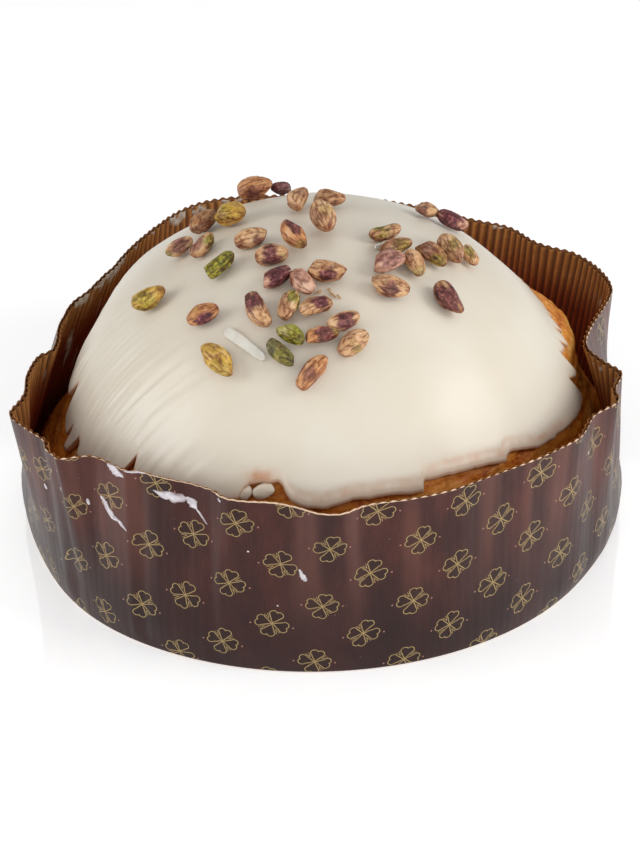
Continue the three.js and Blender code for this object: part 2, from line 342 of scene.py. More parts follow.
def rimTable(samples=40):
    # a closed smooth curve through the knots: between two of them a cubic, whose slopes come from
    # the neighbours at spacings of the root of their distance; measured along its own length
    knots = np.array(rimPlan, float)
    p0, p1, p2, p3 = (np.roll(knots, k, 0) for k in (1, 0, -1, -2))
    gaps = [np.hypot(*(b - a).T)[:, None] ** 0.5 for a, b in ((p0, p1), (p1, p2), (p2, p3))]
    d0, d1, d2 = gaps
    leave = ((p1 - p0) / d0 - (p2 - p0) / (d0 + d1) + (p2 - p1) / d1) * d1
    reach = ((p2 - p1) / d1 - (p3 - p1) / (d1 + d2) + (p3 - p2) / d2) * d1
    square = -3 * p1 + 3 * p2 - 2 * leave - reach
    cube = 2 * p1 - 2 * p2 + leave + reach
    t = np.linspace(0, 1, samples, endpoint=False)[None, :, None]
    a, b, c, d = (v[:, None, :] for v in (p1, leave, square, cube))
    line = (a + b * t + c * t ** 2 + d * t ** 3).reshape(-1, 2)
    line = np.vstack([line, line[:1]])
    along = np.concatenate([[0], np.cumsum(np.hypot(*np.diff(line, axis=0).T))])
    return along / along[-1], line, along[-1]


rimShare, rimLine, rimLength = rimTable()

# Soft folds of the wall: share of the way round, width, depth at the rim, depth at the foot.
wallFolds = [
    (0.655, 2.2, 0.9, 0.3), (0.6485, 1.6, -0.6, -0.2), (0.692, 1.5, 0.5, 0.35),
    (0.607, 2.6, 1.5, 0.5), (0.597, 2.2, -0.8, -0.3), (0.752, 2.4, 0.5, 0.1),
    (0.7615, 3.0, -0.4, -0.1), (0.905, 4.0, 0.8, 0.5), (0.928, 3.0, -0.6, -0.2),
    (0.873, 4.0, 0.5, 0.1), (0.78, 9.0, 0.5, 0.1), (0.12, 5.0, 0.7, 0.2), (0.33, 6.0, 0.6, 0.2),
    (0.43, 4.0, 0.7, 0.3), (0.21, 5.0, -0.5, -0.1),
]


def wallPlan(u, z):
    # a circle at the foot that leans over to the rim's plan: share = ((z - bulge) / rest) to a power
    c = caseWall
    rimX = np.interp(u % 1, rimShare, rimLine[:, 0])
    rimY = np.interp(u % 1, rimShare, rimLine[:, 1])
    bearing = 2 * np.pi * u + np.radians(c["firstBearing"])
    t = np.clip((c["bulgeHeight"] - z) / c["bulgeHeight"], 0, 1)
    radius = c["bulgeRadius"] - (c["bulgeRadius"] - c["baseRadius"]) * t ** 2
    at, width, depth = c["softCorner"]
    radius = radius - depth * bump(turnBetween(u * 360, at), width) * t ** 5
    at, width, depth = c["flatSide"]
    radius = radius - depth * bump(turnBetween(u * 360, at), width)
    lean = np.clip((z - c["bulgeHeight"]) / (c["height"] - c["bulgeHeight"]), 0, 1.2) ** c["leanPower"]
    x = radius * np.cos(bearing) * (1 - lean) + rimX * lean
    return x, radius * np.sin(bearing) * (1 - lean) + rimY * lean


def wallPoint(u, z, inward):
    # the wall's point on a grid of u and z, moved in by a distance and by the folds
    u, z, inward = np.broadcast_arrays(np.asarray(u, float), np.asarray(z, float), inward)
    x, y = wallPlan(u, z)
    point = np.stack([x, y, z], -1)
    return point + wallInward(x, y) * (inward + foldDepth(u, z))[..., None]


def wallInward(x, y):
    # level and square to the wall, from the neighbouring columns
    dx = np.roll(x, -1, 1) - np.roll(x, 1, 1)
    dy = np.roll(y, -1, 1) - np.roll(y, 1, 1)
    return unit(np.stack([-dy, dx, 0 * dx], -1))


def foldDepth(u, z):
    # narrow folds as bells across the wall, and a slow waviness of the paper
    w = paperWaves
    up = smooth(z / caseWall["height"])
    depth = 0.0
    for at, width, rimDepth, footDepth in wallFolds:
        away = (turnBetween(u * 360, at * 360) / 360) * rimLength
        depth = depth + bump(away, width) * (footDepth + (rimDepth - footDepth) * up)
    ring = triple(w["ring"] * np.cos(2 * np.pi * u), w["ring"] * np.sin(2 * np.pi * u), z * w["upright"])
    slow = w["slow"] * noise(ring, w["slowCell"], 3, 2) * up
    fine = w["fine"] * noise(ring, w["fineCell"], 8)
    return (depth + slow + fine) * smooth(z / w["fade"])


# Where the rim runs even with a plain cream line: share of the way round, half width, depth of the line.
evenRim = [(0.733, 24, 0.5), (0.668, 17, 0.3)]

# The print wanders on the real sheet: mm from the seam, then how far across and up it has slipped.
# The last row is at the seam again, where the pattern has to meet itself.
printDrift = [
    (0, 0, 0), (180, -5, 5), (233, -7.9, 6), (240, -7.9, 6), (244.5, -10.4, -1.3),
    (254, -10.4, -1.3), (266, -2.4, 6.8), (278, -2.4, 6.8), (284, -3.6, 4), (290, -3.6, 4),
    (307, -1.5, 4), (323, -1.4, 1.8), (339, -1.5, 0.6), (354, -0.4, 0), (371, 0.2, -2.2),
    (387, 0.2, -0.8), (404, 1.1, -0.9), (421, 0.3, -0.3), (437, 1.2, 0.9), (453, 0.2, 3.2),
    (471, 3.2, 2.2), (520, 3, 2), (748.1, 9.6, 5.4),
]


def linerRows():
    # up the printed face, over the scalloped lip, down the back, and in under the cake as a pleated hem
    c = caseWall
    columns = c["flutes"] * c["stepsPerFlute"]
    u = c["seam"] + np.arange(columns) / columns
    beat = 0.5 + 0.5 * np.cos(2 * np.pi * u * c["flutes"])
    wander = noise(triple(u * rimLength, 0, 0), 9.0, 21, 2)
    even, bareDepth = 0.0, 0.0
    for at, halfWidth, depth in evenRim:
        share = bump(turnBetween(u * 360, at * 360) / 360 * rimLength, halfWidth)
        even, bareDepth = np.maximum(even, share), np.where(share > even, depth, bareDepth)
    scallop = c["scallop"] * (1 - beat ** c["scallopPower"]) * (1 - c["scallopEven"] * even)
    lip = c["height"] - c["lipBelow"] - scallop + c["lipWander"] * wander * (1 - even)
    heights = [0.3, 0.8, 1.6, 3, 5, 7, 9, 12, 15, 19, 23, 27, 31, 35, 39, 43, 47, 51, 55, 58,
               60.5, 62.5, 64.3, 65.7, 66.8, 67.5]
    shape = np.ones(columns)
    outer = [(z * shape, 0 * shape) for z in heights]
    base = heights[-1]
    for share in (0.4, 0.7, 0.86):
        outer.append((base + (lip - base) * share, 0 * shape - 0.02))
    outer.append((lip, 0 * shape + 0.04))
    inner = [(lip, 0 * shape + 0.14), (lip, 0 * shape + c["linerThickness"] - 0.05)]
    for z in (67.5, 64, 58, 48, 36, 24, 12, 5, 2, 1.0):
        inner.append((z * shape, c["linerThickness"] * shape))
    levels = outer + inner
    z = np.stack([a for a, b in levels])
    inward = np.stack([b for a, b in levels])
    wall = wallPoint(u[None, :] + 0 * z, z, inward)
    foot = wallPoint(u[None, :] + np.zeros((2, 1)), np.zeros((2, columns)), 0.0)
    bearing = np.arctan2(foot[0, :, 1], foot[0, :, 0])
    rim = np.hypot(foot[0, :, 0], foot[0, :, 1])

    def hem(radius, height):
        pleat = c["pleatDepth"] * np.sin(bearing * c["pleats"])
        pleat = pleat * smooth((c["pleatFrom"] - radius) / c["pleatFade"])
        level = height + np.abs(pleat) * (height > 0.1)
        return np.stack([radius * np.cos(bearing), radius * np.sin(bearing), level], -1)

    ring = 0 * rim
    low = [hem(ring + c["hemInner"], ring + 0.02), hem(ring + 101, ring), hem(rim - 3, ring),
           hem(rim - 0.9, ring), hem(rim - 0.25, ring + 0.08)]
    lift = ring + c["hemThickness"]
    high = [hem(rim - 1.0, lift), hem(ring + 101, lift), hem(ring + c["hemInner"], lift)]
    rows = np.concatenate([np.stack(low), wall, np.stack(high)])
    zs = np.concatenate([np.zeros((len(low), columns)), z, np.zeros((len(high), columns))])
    # the pattern's own measure: millimetres round the wall and up it
    inside = np.ones(len(rows))
    inside[len(low):len(low) + len(outer)] = 0
    up = np.where(inside[:, None] > 0, c["turnedIn"], zs)
    across = np.arange(columns + 1)[None, :] / columns * rimLength
    at, slipAcross, slipUp = np.array(printDrift, float).T
    up = np.hstack([up, up[:, :1]]) - np.interp(across, at, slipUp)
    uv = np.stack([across - np.interp(across, at, slipAcross) + 0 * up, up], -1)
    uv = np.concatenate([uv, uv[:1]])
    # fringe: 0 is print, 1 the bare cream edge of each scallop, 2 brown kraft
    start = (c["height"] - c["bareTip"]) * (1 - even) + (lip - bareDepth) * even
    bare = smooth((zs - start[None, :]) / 0.1)
    fringe = np.where(inside[:, None] > 0, 2, bare)
    return rows, uv, fringe


# The printed clovers, in mm on the sheet
printPattern = {
    "pitch": 16.07,  # from one column to the next
    "repeat": 24.4,  # from one clover to the next in a column
    "rise": 0.43,  # share of a repeat that each column steps up
    "lean": 0.13,
    "leanAbout": 50,
    "firstAt": 341.1,
    "firstHeight": 59.0,
    "turn": (0.14, 0.25),  # radians, in even and odd columns
    "squat": 1.09,
    "lobeAway": 4.25,
    "lobeAside": 1.05,
    "lobeRound": 1.36,
    "leafHalf": 2.3,
    "leafStart": 0.3,
    "leafShort": 0.15,
    "leafPower": 1.34,
    "leafSlope": 0.82,
    "line": 0.16,
    "forkFrom": 1.9,
    "forkTo": 3.9,
    "forkSpread": 0.42,
    "forkHalf": 0.12,
    "dotAt": (7.2, -0.6),
    "dotRadius": 0.31,
    "speckScale": 0.16,
    "speckRadius": 0.026,
}

# A colour is red, green and blue from 0 to 255. A number before it is the share that is laid over
# what is below; a list is a ramp.
printColours = {
    "ground": [(0.34, (33, 13, 11)), (0.48, (55, 24, 20)), (0.62, (88, 42, 34))],
    # the next is painted sheen: pale upright bands where light catches the folds
    "foldSheen": (0.26, (144, 92, 78)),
    # the next is painted shade: the wall darkens towards its foot
    "foot": (0.6, (28, 10, 10)),
    "leaf": (0.55, (34, 16, 10)),
    "ink": [(0.35, (132, 108, 62)), (0.62, (184, 160, 110))],
    "inkShare": 0.92,
    "dot": (0.6, (196, 142, 122)),
    "speck": (0.55, (178, 150, 140)),
    "edge": [(0.3, (206, 168, 134)), (0.7, (238, 212, 184))],
    "back": [(0.3, (92, 50, 20)), (0.7, (150, 98, 54))],
}


def distance(tree, x, y, centreX, centreY):
    # the root of the two squared differences
    aside = calc(tree, "POWER", minus(tree, x, centreX), 2)
    above = calc(tree, "POWER", minus(tree, y, centreY), 2)
    return calc(tree, "SQRT", plus(tree, aside, above))


def latticePlace(tree, across, up):
    # the place inside the nearest column and repeat of a leaning lattice,
    # and whether the column is an odd one
    p = printPattern
    lean = times(tree, minus(tree, up, p["leanAbout"]), p["lean"])
    slid = minus(tree, minus(tree, across, lean), p["firstAt"])
    slid = calc(tree, "DIVIDE", slid, p["pitch"])
    column = calc(tree, "ROUND", slid)
    x = times(tree, minus(tree, slid, column), p["pitch"])
    step = calc(tree, "DIVIDE", minus(tree, up, p["firstHeight"]), p["repeat"])
    step = minus(tree, step, times(tree, column, p["rise"]))
    y = times(tree, minus(tree, step, calc(tree, "ROUND", step)), p["repeat"])
    return x, y, calc(tree, "PINGPONG", column, 1)


def cloverLines(tree, x, y, odd):
    # four heart-shaped leaves in outline, with forked stamens in three of the gaps;
    # every other column is upside down
    p = printPattern
    even, other = p["turn"]
    angle = calc(tree, "MULTIPLY_ADD", odd, np.pi + other - even, even)
    flat = put(tree, "CombineXYZ", {0: x, 1: times(tree, y, p["squat"])}).outputs[0]
    spin = put(tree, "VectorRotate", {"Vector": flat, "Angle": angle}, rotation_type="Z_AXIS")
    turned = put(tree, "SeparateXYZ", {0: spin.outputs[0]})
    ax, ay = positive(tree, turned.outputs[0]), positive(tree, turned.outputs[1])
    far = calc(tree, "MAXIMUM", ax, ay)
    near = calc(tree, "MINIMUM", ax, ay)
    lobe = minus(tree, distance(tree, near, far, p["lobeAside"], p["lobeAway"]), p["lobeRound"])
    # half the leaf's width grows as 1 less (1 - share) to a power, from the middle of the clover
    share = minus(tree, far, p["leafStart"])
    share = calc(tree, "DIVIDE", share, p["lobeAway"] - p["leafShort"], clamp=True)
    width = minus(tree, 1, calc(tree, "POWER", minus(tree, 1, share), p["leafPower"]))
    side = minus(tree, near, times(tree, width, p["leafHalf"]))
    side = times(tree, side, p["leafSlope"])
    side = calc(tree, "MAXIMUM", side, minus(tree, far, p["lobeAway"]))
    leaf = calc(tree, "MINIMUM", lobe, side)
    outline = between(tree, positive(tree, leaf), p["line"] * 0.7, p["line"] * 1.35)
    outline = minus(tree, 1, outline)
    inside = between(tree, leaf, 0.1, -0.1)
    prong = times(tree, minus(tree, far, p["forkFrom"]), p["forkSpread"])
    prong = positive(tree, minus(tree, positive(tree, minus(tree, ax, ay)), prong))
    prong = calc(tree, "LESS_THAN", prong, p["forkHalf"])
    past = calc(tree, "GREATER_THAN", far, p["forkFrom"])
    reach = times(tree, past, calc(tree, "LESS_THAN", far, p["forkTo"]))
    lower = calc(tree, "LESS_THAN", turned.outputs[1], 0)
    bareGap = times(tree, lower, calc(tree, "LESS_THAN", turned.outputs[0], 0))
    stamens = times(tree, times(tree, prong, reach), minus(tree, 1, bareGap))
    return calc(tree, "MAXIMUM", outline, stamens), inside


def printedPaper():
    p, k = printPattern, printColours
    material, tree, shader = startMaterial("printedPaper", Specular_IOR_Level=0.26)
    place = onPaper(tree)
    across, up = component(tree, place, 0), component(tree, place, 1)
    x, y, odd = latticePlace(tree, across, up)
    gold, inside = cloverLines(tree, x, y, odd)
    dot = calc(tree, "LESS_THAN", distance(tree, positive(tree, x), y, *p["dotAt"]), p["dotRadius"])
    specks = put(tree, "TexVoronoi", {"Vector": place, "Scale": p["speckScale"], "Randomness": 1.0})
    speck = calc(tree, "LESS_THAN", specks.outputs["Distance"], p["speckRadius"])
    grain = cloud(tree, stretched(tree, place, (2.6, 0.14, 1)), 1.0, 4.0, 0.7)
    halftone = cloud(tree, place, 2.6, 2.0, 0.8)
    patch = cloud(tree, stretched(tree, place, (0.05, 0.03, 1)), 1.0, 3.0)
    mixed = calc(tree, "MULTIPLY_ADD", grain, 0.2, times(tree, patch, 0.4))
    mixed = calc(tree, "MULTIPLY_ADD", halftone, 0.4, mixed)
    ground = ramp(tree, mixed, k["ground"])
    # soft upright bands of painted sheen, where light catches the folds, and painted shade that darkens the
    # foot
    sheenBand = cloud(tree, stretched(tree, place, (0.062, 0.005, 1)), 1.0, 2.0, 0.5)
    pale = times(tree, between(tree, sheenBand, 0.46, 0.66), between(tree, up, 4, 52))
    ground = tint(tree, ground, pale, *k["foldSheen"])
    ground = tint(tree, ground, between(tree, up, 50, 6), *k["foot"])
    ground = tint(tree, ground, inside, *k["leaf"])
    inked = tint(tree, ground, gold, k["inkShare"], ramp(tree, halftone, k["ink"]))
    dotted = tint(tree, inked, dot, *k["dot"])
    dotted = tint(tree, dotted, speck, *k["speck"])
    fringe = attribute(tree, "fringe")
    cream = ramp(tree, cloud(tree, place, 0.9, 2.0), k["edge"])
    colour = blendColour(tree, between(tree, fringe, 0.2, 0.8), dotted, cream)
    colour = blendColour(tree, between(tree, fringe, 1.1, 1.7), colour, ramp(tree, grain, k["back"]))
    paint(tree, shader, colour)
    # the print is satin, and the bare paper is duller
    rough = put(tree, "MapRange", {0: grain, 3: 0.28, 4: 0.44}).outputs[0]
    bareShare = calc(tree, "MINIMUM", fringe, 1)
    rough = calc(tree, "MULTIPLY_ADD", bareShare, 0.35, rough)
    tree.links.new(rough, shader.inputs["Roughness"])
    ribs = times(tree, across, 2 * np.pi * caseWall["flutes"] / rimLength)
    height = calc(tree, "MULTIPLY_ADD", calc(tree, "SINE", ribs), 0.25, grain)
    relief(tree, shader, height, 0.00012, 0.6)
    return material


kraftColours = {
    "paper": [(0.28, (140, 84, 30)), (0.5, (182, 120, 56)), (0.75, (212, 156, 88))],
    # the next two lay grease and painted shade deeper down the inner face
    "deep": [(0.3, (122, 30, 2)), (0.7, (166, 62, 8))],
    "greaseAndShadeShare": 0.9,
    # painted shade in the grooves between the flutes
    "groove": (0.8, (62, 20, 4)),
    "smear": [(0.35, (170, 150, 130)), (0.6, (214, 204, 190))],
}


def kraftPaper():
    k = kraftColours
    material, tree, shader = startMaterial("kraftPaper", Roughness=0.75)
    place = onPaper(tree)
    fibre = cloud(tree, stretched(tree, place, (1.6, 0.35, 1)), 1.0, 5.0, 0.65)
    stain = cloud(tree, stretched(tree, place, (0.05, 0.08, 1)), 1.0, 3.0)
    mixed = plus(tree, times(tree, fibre, 0.5), times(tree, stain, 0.5))
    paper = ramp(tree, mixed, k["paper"])
    # greasy towards the cake, with painted shade: darker and redder deeper down the inner face
    depth = between(tree, component(tree, place, 1), 67, 44)
    paper = tint(tree, paper, depth, k["greaseAndShadeShare"], ramp(tree, mixed, k["deep"]))
    # painted shade: the grooves between the flutes' crests are darker
    paper = tint(tree, paper, minus(tree, 1, attribute(tree, "crest")), *k["groove"])
    white = ramp(tree, cloud(tree, place, 0.4, 4.0), k["smear"])
    colour = blendColour(tree, attribute(tree, "smear"), paper, white)
    paint(tree, shader, colour)
    relief(tree, shader, fibre, 0.00015, 0.5)
    return material


# Dried icing on the inner face of the rim: share of the way round, height, half width,
# half height, strength.
innerSmears = [
    (0.437, 67, 5, 4, 1.0), (0.420, 67.5, 6, 2.5, 0.9), (0.405, 67, 7, 3.5, 1.0),
    (0.392, 67.5, 6, 3, 1.0), (0.370, 68, 6, 1.8, 0.6), (0.352, 68, 6, 2.0, 0.5),
    (0.331, 67.3, 6, 3.0, 1.0), (0.316, 67.8, 5, 2.5, 0.9), (0.296, 68.2, 6, 1.6, 0.6),
    (0.435, 48, 2.0, 9, 0.7), (0.18, 68.0, 8, 1.6, 0.5), (0.14, 68.2, 7, 1.5, 0.4),
]
# How a smear begins, frays and fills the flutes, and how much it levels them
innerSmear = {
    "from": 0.45,
    "frayed": 0.5,
    "frayCell": (3.5, 2.5, 3.5),
    "soft": 0.25,
    "fill": 0.22,
    "levels": 0.45,
}


def fluteRows():
    # the fluted sheet: a cosine across the wall, up its outer side and down its inner side
    c = caseWall
    columns = c["flutes"] * c["stepsPerFlute"]
    u = c["seam"] + np.arange(columns) / columns
    heights = np.array([1.1, 4, 8, 13, 20, 28, 36, 43, 49, 54, 58, 61, 63.5, 65.3, 66.6, 67.6, 68.25, 68.7])
    z = np.concatenate([heights, heights[::-1]])[:, None] + 0 * u[None, :]
    side = np.concatenate([-np.ones(len(heights)), np.ones(len(heights))])[:, None]
    wander = noise(triple(u * rimLength, 0, 0), 14.0, 5, 2)[None, :]
    level, rest = 60, 8.7  # above the level, the rows close up to the top edge, which wanders
    top = c["fluteTop"] - level - c["fluteTopWander"] * wander
    z = np.where(z > level, level + (z - level) * top / rest, z)
    shift = c["fluteDrift"] * noise(triple(u * rimLength, 0, 0), 30.0, 9)[None, :]
    wave = np.cos(2 * np.pi * u[None, :] * c["flutes"] + shift)
    smear = 0.0
    for at, height, wide, tall, strength in innerSmears:
        away = (turnBetween(u * 360, at * 360) / 360)[None, :] * rimLength
        smear = smear + strength * np.exp(-np.abs(away / wide) ** 3 - np.abs((z - height) / tall) ** 3)
    f = innerSmear
    frayed = f["frayed"] * noise(triple(u[None, :] * rimLength, z, 0), f["frayCell"], 31, 3)
    fill = smooth((smear - f["from"] + frayed) / f["soft"]) * (side > 0)
    swing = c["fluteSwing"] * (1 - f["levels"] * fill)
    inward = c["fluteMiddle"] - swing * wave + side * c["sheetThickness"] / 2 + f["fill"] * fill
    rows = wallPoint(u[None, :] + 0 * z, z, inward)
    across = np.arange(columns + 1)[None, :] / columns * rimLength + np.zeros((len(z), 1))
    uv = np.stack([across, np.hstack([z, z[:, :1]])], -1)
    uv = np.concatenate([uv, uv[:1]])
    crest = np.broadcast_to(0.5 - 0.5 * wave, z.shape)
    return rows, uv, crest, fill


linerPoints, linerUv, linerFringe = linerRows()
paperPrinted = printedPaper()
caseLiner = surface("caseLiner", linerPoints, paperPrinted, linerUv, loop=True,
                    values={"fringe": linerFringe})
flutePoints, fluteUv, fluteCrest, fluteSmear = fluteRows()
paperKraft = kraftPaper()
caseFlutes = surface("caseFlutes", flutePoints, paperKraft, fluteUv, loop=True,
                     values={"crest": fluteCrest, "smear": fluteSmear})
for piece in (caseLiner, caseFlutes):
    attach(piece, "root")
    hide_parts("case_wall")
print("paper case: liner and fluted sheet")

caseBottom = {
    "columns": 240,
    "step": 1.1,  # the edge stands on the hem
    "thickness": 0.8,
    "hemInner": 96.0,
    "edge": 103.0,
    "ringDepth": 0.12,
    "colours": [(0.3, (104, 68, 40)), (0.7, (140, 98, 62))],
}


def bottomRows():
    # a profile of radius and height, turned all the way round, with pressed rings
    b = caseBottom
    step, thick, inner, edge = b["step"], b["thickness"], b["hemInner"], b["edge"]
    profile = [(10, 0), (30, 0), (50, 0), (70, 0), (86, 0), (inner - 2.6, 0), (inner - 2.0, 0.15),
               (inner - 1.2, step - 0.15), (inner - 0.8, step), (edge - 0.3, step), (edge, step + 0.3),
               (edge, step + thick - 0.3), (edge - 0.3, step + thick), (inner - 1.6, step + thick),
               (inner - 2.1, step + thick - 0.2), (inner - 2.7, thick + 0.15), (inner - 3.3, thick),
               (86, thick), (70, thick), (50, thick), (30, thick), (10, thick)]
    turn = 2 * np.pi * np.arange(b["columns"]) / b["columns"]
    r = np.array([p[0] for p in profile])[:, None]
    z = np.array([p[1] for p in profile])[:, None] + 0 * turn[None, :]
    pressed = b["ringDepth"] * np.sin(r * 0.9) * (z < 0.1) * (r < 90)
    z = z + np.clip(pressed, 0, 1)
    return np.stack([r * np.cos(turn), r * np.sin(turn), z], -1)


def plainKraft():
    material, tree, shader = startMaterial("plainKraft", Roughness=0.8)
    place = onObject(tree)
    fibre = cloud(tree, place, 900.0, 5.0, 0.7)
    stain = cloud(tree, place, 25.0, 3.0)
    mixed = plus(tree, times(tree, fibre, 0.5), times(tree, stain, 0.5))
    colour = ramp(tree, mixed, caseBottom["colours"])
    paint(tree, shader, colour)
    relief(tree, shader, fibre, 0.0001, 0.4)
    return material


caseBase = surface("caseBase", bottomRows(), plainKraft(), bottom=(0, 0, 0),
                   top=(0, 0, caseBottom["thickness"]))
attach(caseBase, "root")
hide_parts("case_base")
print("bottom of the case")

# The bread

bread = {
    "drumRadius": 109.6,
    "domeRadius": 94.6,
    "domeBase": 31.0,
    "top": 118.0,
    "shift": (1.4, -8.4),  # how far the dome's middle is off the case's middle
    "shiftHeight": 47.0,
    "floor": 2.3,
    "drumToDome": (17, 52),
    "footCurve": (14.0, 11.9, 8.6),  # its top, its radius, how far it cuts in
    "columns": 640,
    "evenTo": 82,  # the rows are level and even up to here, and close up towards the top above it
    "ripple": 1.0,
    "pits": 0.3,
    "nearTop": 0.0001,
}

# Swellings: azimuth, height, rise, spread in degrees, spread in mm.
swellings = [
    (5, 45, 2.5, 25, 18), (146, 82, 2.6, 9, 9), (162, 66, -1.8, 12, 12), (32, 84, -1.4, 10, 8),
    (21, 65, 4.4, 13, 3.6), (6, 51, -1.8, 12, 6), (2, 36.5, 3.2, 8, 3.5), (350, 44, 1, 8, 6),
]
shoulder = {"rise": 5.5, "azimuth": 20, "half": 24, "top": 75, "soft": 12, "bottom": 38, "fade": 14}


def domeCentre(z):
    s = smooth(z / bread["shiftHeight"])
    return bread["shift"][0] * s, bread["shift"][1] * s


def breadRadius(azimuth, z):
    # an ellipse arc above the dome's base, with swellings, led over to a straight drum below
    b, s = bread, shoulder
    t = np.clip((z - b["domeBase"]) / (b["top"] - b["domeBase"]), 0, 1)
    r = b["domeRadius"] * np.sqrt(1 - t * t)
    for at, height, rise, turn, tall in swellings:
        r = r + rise * bump(np.hypot(turnBetween(azimuth, at) / turn, (z - height) / tall), 1)
    away = np.abs(turnBetween(azimuth, s["azimuth"]))
    around = 1 - smooth((away - s["half"] * 0.5) / (s["half"] * 0.7))
    up = smooth((s["top"] - z) / s["soft"]) * smooth((z - s["bottom"] + s["fade"]) / s["fade"])
    r = r + s["rise"] * around * up
    start, end = b["drumToDome"]
    lower = smooth((z - start) / (end - start))
    r = np.where(z < end, b["drumRadius"] * (1 - lower) + r * lower, r)
    top, radius, cut = b["footCurve"]
    return r - cut * (1 - np.sqrt(1 - np.clip((top - z) / radius, 0, 1) ** 2))


def breadPoint(azimuth, z):
    cx, cy = domeCentre(z)
    r = breadRadius(azimuth, z)
    a = np.radians(azimuth)
    return np.stack([cx + r * np.cos(a), cy + r * np.sin(a), z + 0 * r], -1)


def overBread(azimuth, z, off):
    # the point a given distance outside the skin, along the skin's own normal
    highest = bread["top"] - bread["nearTop"]
    azimuth, z = np.broadcast_arrays(azimuth, np.minimum(z, highest))
    high = np.minimum(z + 0.4, highest)
    around = breadPoint(azimuth + 0.5, z) - breadPoint(azimuth - 0.5, z)
    rise = breadPoint(azimuth, high) - breadPoint(azimuth, high - 0.8)
    out = unit(np.cross(around, rise))
    return breadPoint(azimuth, z) + out * np.asarray(off)[..., None], out


def crustRelief(point):
    # long ripples that lie level round the side, broken up, with small pits
    wide = noise(point, (13.0, 13.0, 3.6), 41, 3)
    ridge = 1 - 2 * np.abs(noise(point, (16.0, 16.0, 4.4), 47, 2))
    pits = np.minimum(noise(point, 1.6, 53, 2), 0)
    return bread["ripple"] * (0.55 * wide + 0.45 * ridge - 0.35) + bread["pits"] * pits


def breadRows():
    # rows up the skin with the crust's relief, which fades in above the foot and lessens under the icing
    b = bread
    az = 360 * np.arange(b["columns"]) / b["columns"]
    base, tall = b["domeBase"], b["top"] - b["domeBase"]
    low = np.array([2.32, 2.6, 3.1, 4, 5.3, 7, 9, 11.5, 14, 17, 20, 24, 28])
    middle = np.linspace(base, b["evenTo"], 78)
    rest = np.linspace(np.arcsin((b["evenTo"] - base) / tall), np.pi / 2 * 0.992, 36)[1:]
    heights = np.concatenate([low, middle, base + tall * np.sin(rest)])[:, None]
    point, out = overBread(az[None, :], heights, np.zeros((len(heights), len(az))))
    amount = smooth((heights - 12) / 14) * (1 - 0.6 * smooth((heights - 72) / 14))
    point = point + out * (crustRelief(point) * amount)[..., None]
    disc = np.array([0.3, 0.6, 0.85, 0.95])[:, None, None]
    foot = point[:1] * disc
    foot[..., 2] = b["floor"]
    return np.concatenate([foot, point])


crustColours = {
    "crust": [(0.34, (150, 68, 10)), (0.43, (210, 116, 28)), (0.54, (238, 160, 62)),
              (0.66, (250, 206, 124))],
    "spot": (0.35, (128, 52, 8)),
    # the next is painted light deep in the case, a bright, redder orange
    "low": (0.6, (216, 98, 16)),
}


def bakedCrust():
    k = crustColours
    material, tree, shader = startMaterial("bakedCrust", Roughness=0.45)
    place = onObject(tree)
    wide = cloud(tree, stretched(tree, place, (55, 55, 230)), 1.0, 5.0, 0.62)
    fine = cloud(tree, stretched(tree, place, (520, 520, 760)), 1.0, 5.0, 0.68)
    spots = cloud(tree, place, 170.0, 3.0)
    mixed = calc(tree, "MULTIPLY_ADD", fine, 0.4, times(tree, wide, 0.6))
    colour = ramp(tree, mixed, k["crust"])
    colour = tint(tree, colour, between(tree, spots, 0.56, 0.70), *k["spot"])
    # painted light: a bright, redder orange where it sits deep in the case, standing in for light bounced
    # in the shaded gap
    low = between(tree, component(tree, place, 2), 0.052, 0.030)
    paint(tree, shader, tint(tree, colour, low, *k["low"]))
    relief(tree, shader, mixed, 0.0014, 0.7)
    return material


loaf = surface("loaf", breadRows(), bakedCrust(), bottom=(0, 0, bread["floor"]),
               top=(*bread["shift"], bread["top"]))
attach(loaf, "root")
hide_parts("bread")
print("bread with its crust")

# The icing

icing = {
    "outer": 2.6,  # above the bread's skin
    "inner": 0.35,
    "lip": 1.15,
    "columns": 1200,
    "rows": 66,
    "crowding": 1.9,  # how strongly the rows crowd at the top
    "topGap": 0.02,
    "lipUp": 0.4,
    "lipAngles": (-80, -50, -20, 10, 40, 65, 82),
    "lumps": 0.30,
    "bead": 0.35,
    "beadHeight": 3.1,  # of the groove above the bead
    "grooveDepth": 0.35,
    "grooveWidth": 0.85,
    "grooveThin": 0.85,
    "edgeThin": 0.75,
    "edgeThinDepth": 0.9,
    "front": (290, 52, 8),  # the beaded stretch: middle, half of it, how softly it ends
    "frontStart": (261, 3),
    "ragged": 0.3,
    "raggedBehind": 1.1,
}

# Where the crust shines through above the gap: azimuth, spread, height, spread in mm, strength.
icingStains = [(256.6, 2.4, 66.6, 1.5, 1.0), (254.6, 0.7, 62.5, 2.2, 0.7)]
stainStrength = 1.3

# Fine strokes on the left flank: the way they run, the way the flank faces, where they are, their cells.
streaks = {
    "depth": 0.42,
    "down": (-0.62, 0.05, -0.78),
    "outward": (-0.76, -0.35, 0.55),
    "azimuth": 203,
    "spread": 30,
    "top": 104,
    "fade": 26,
    "long": 26,
    "narrow": 1.7,
}

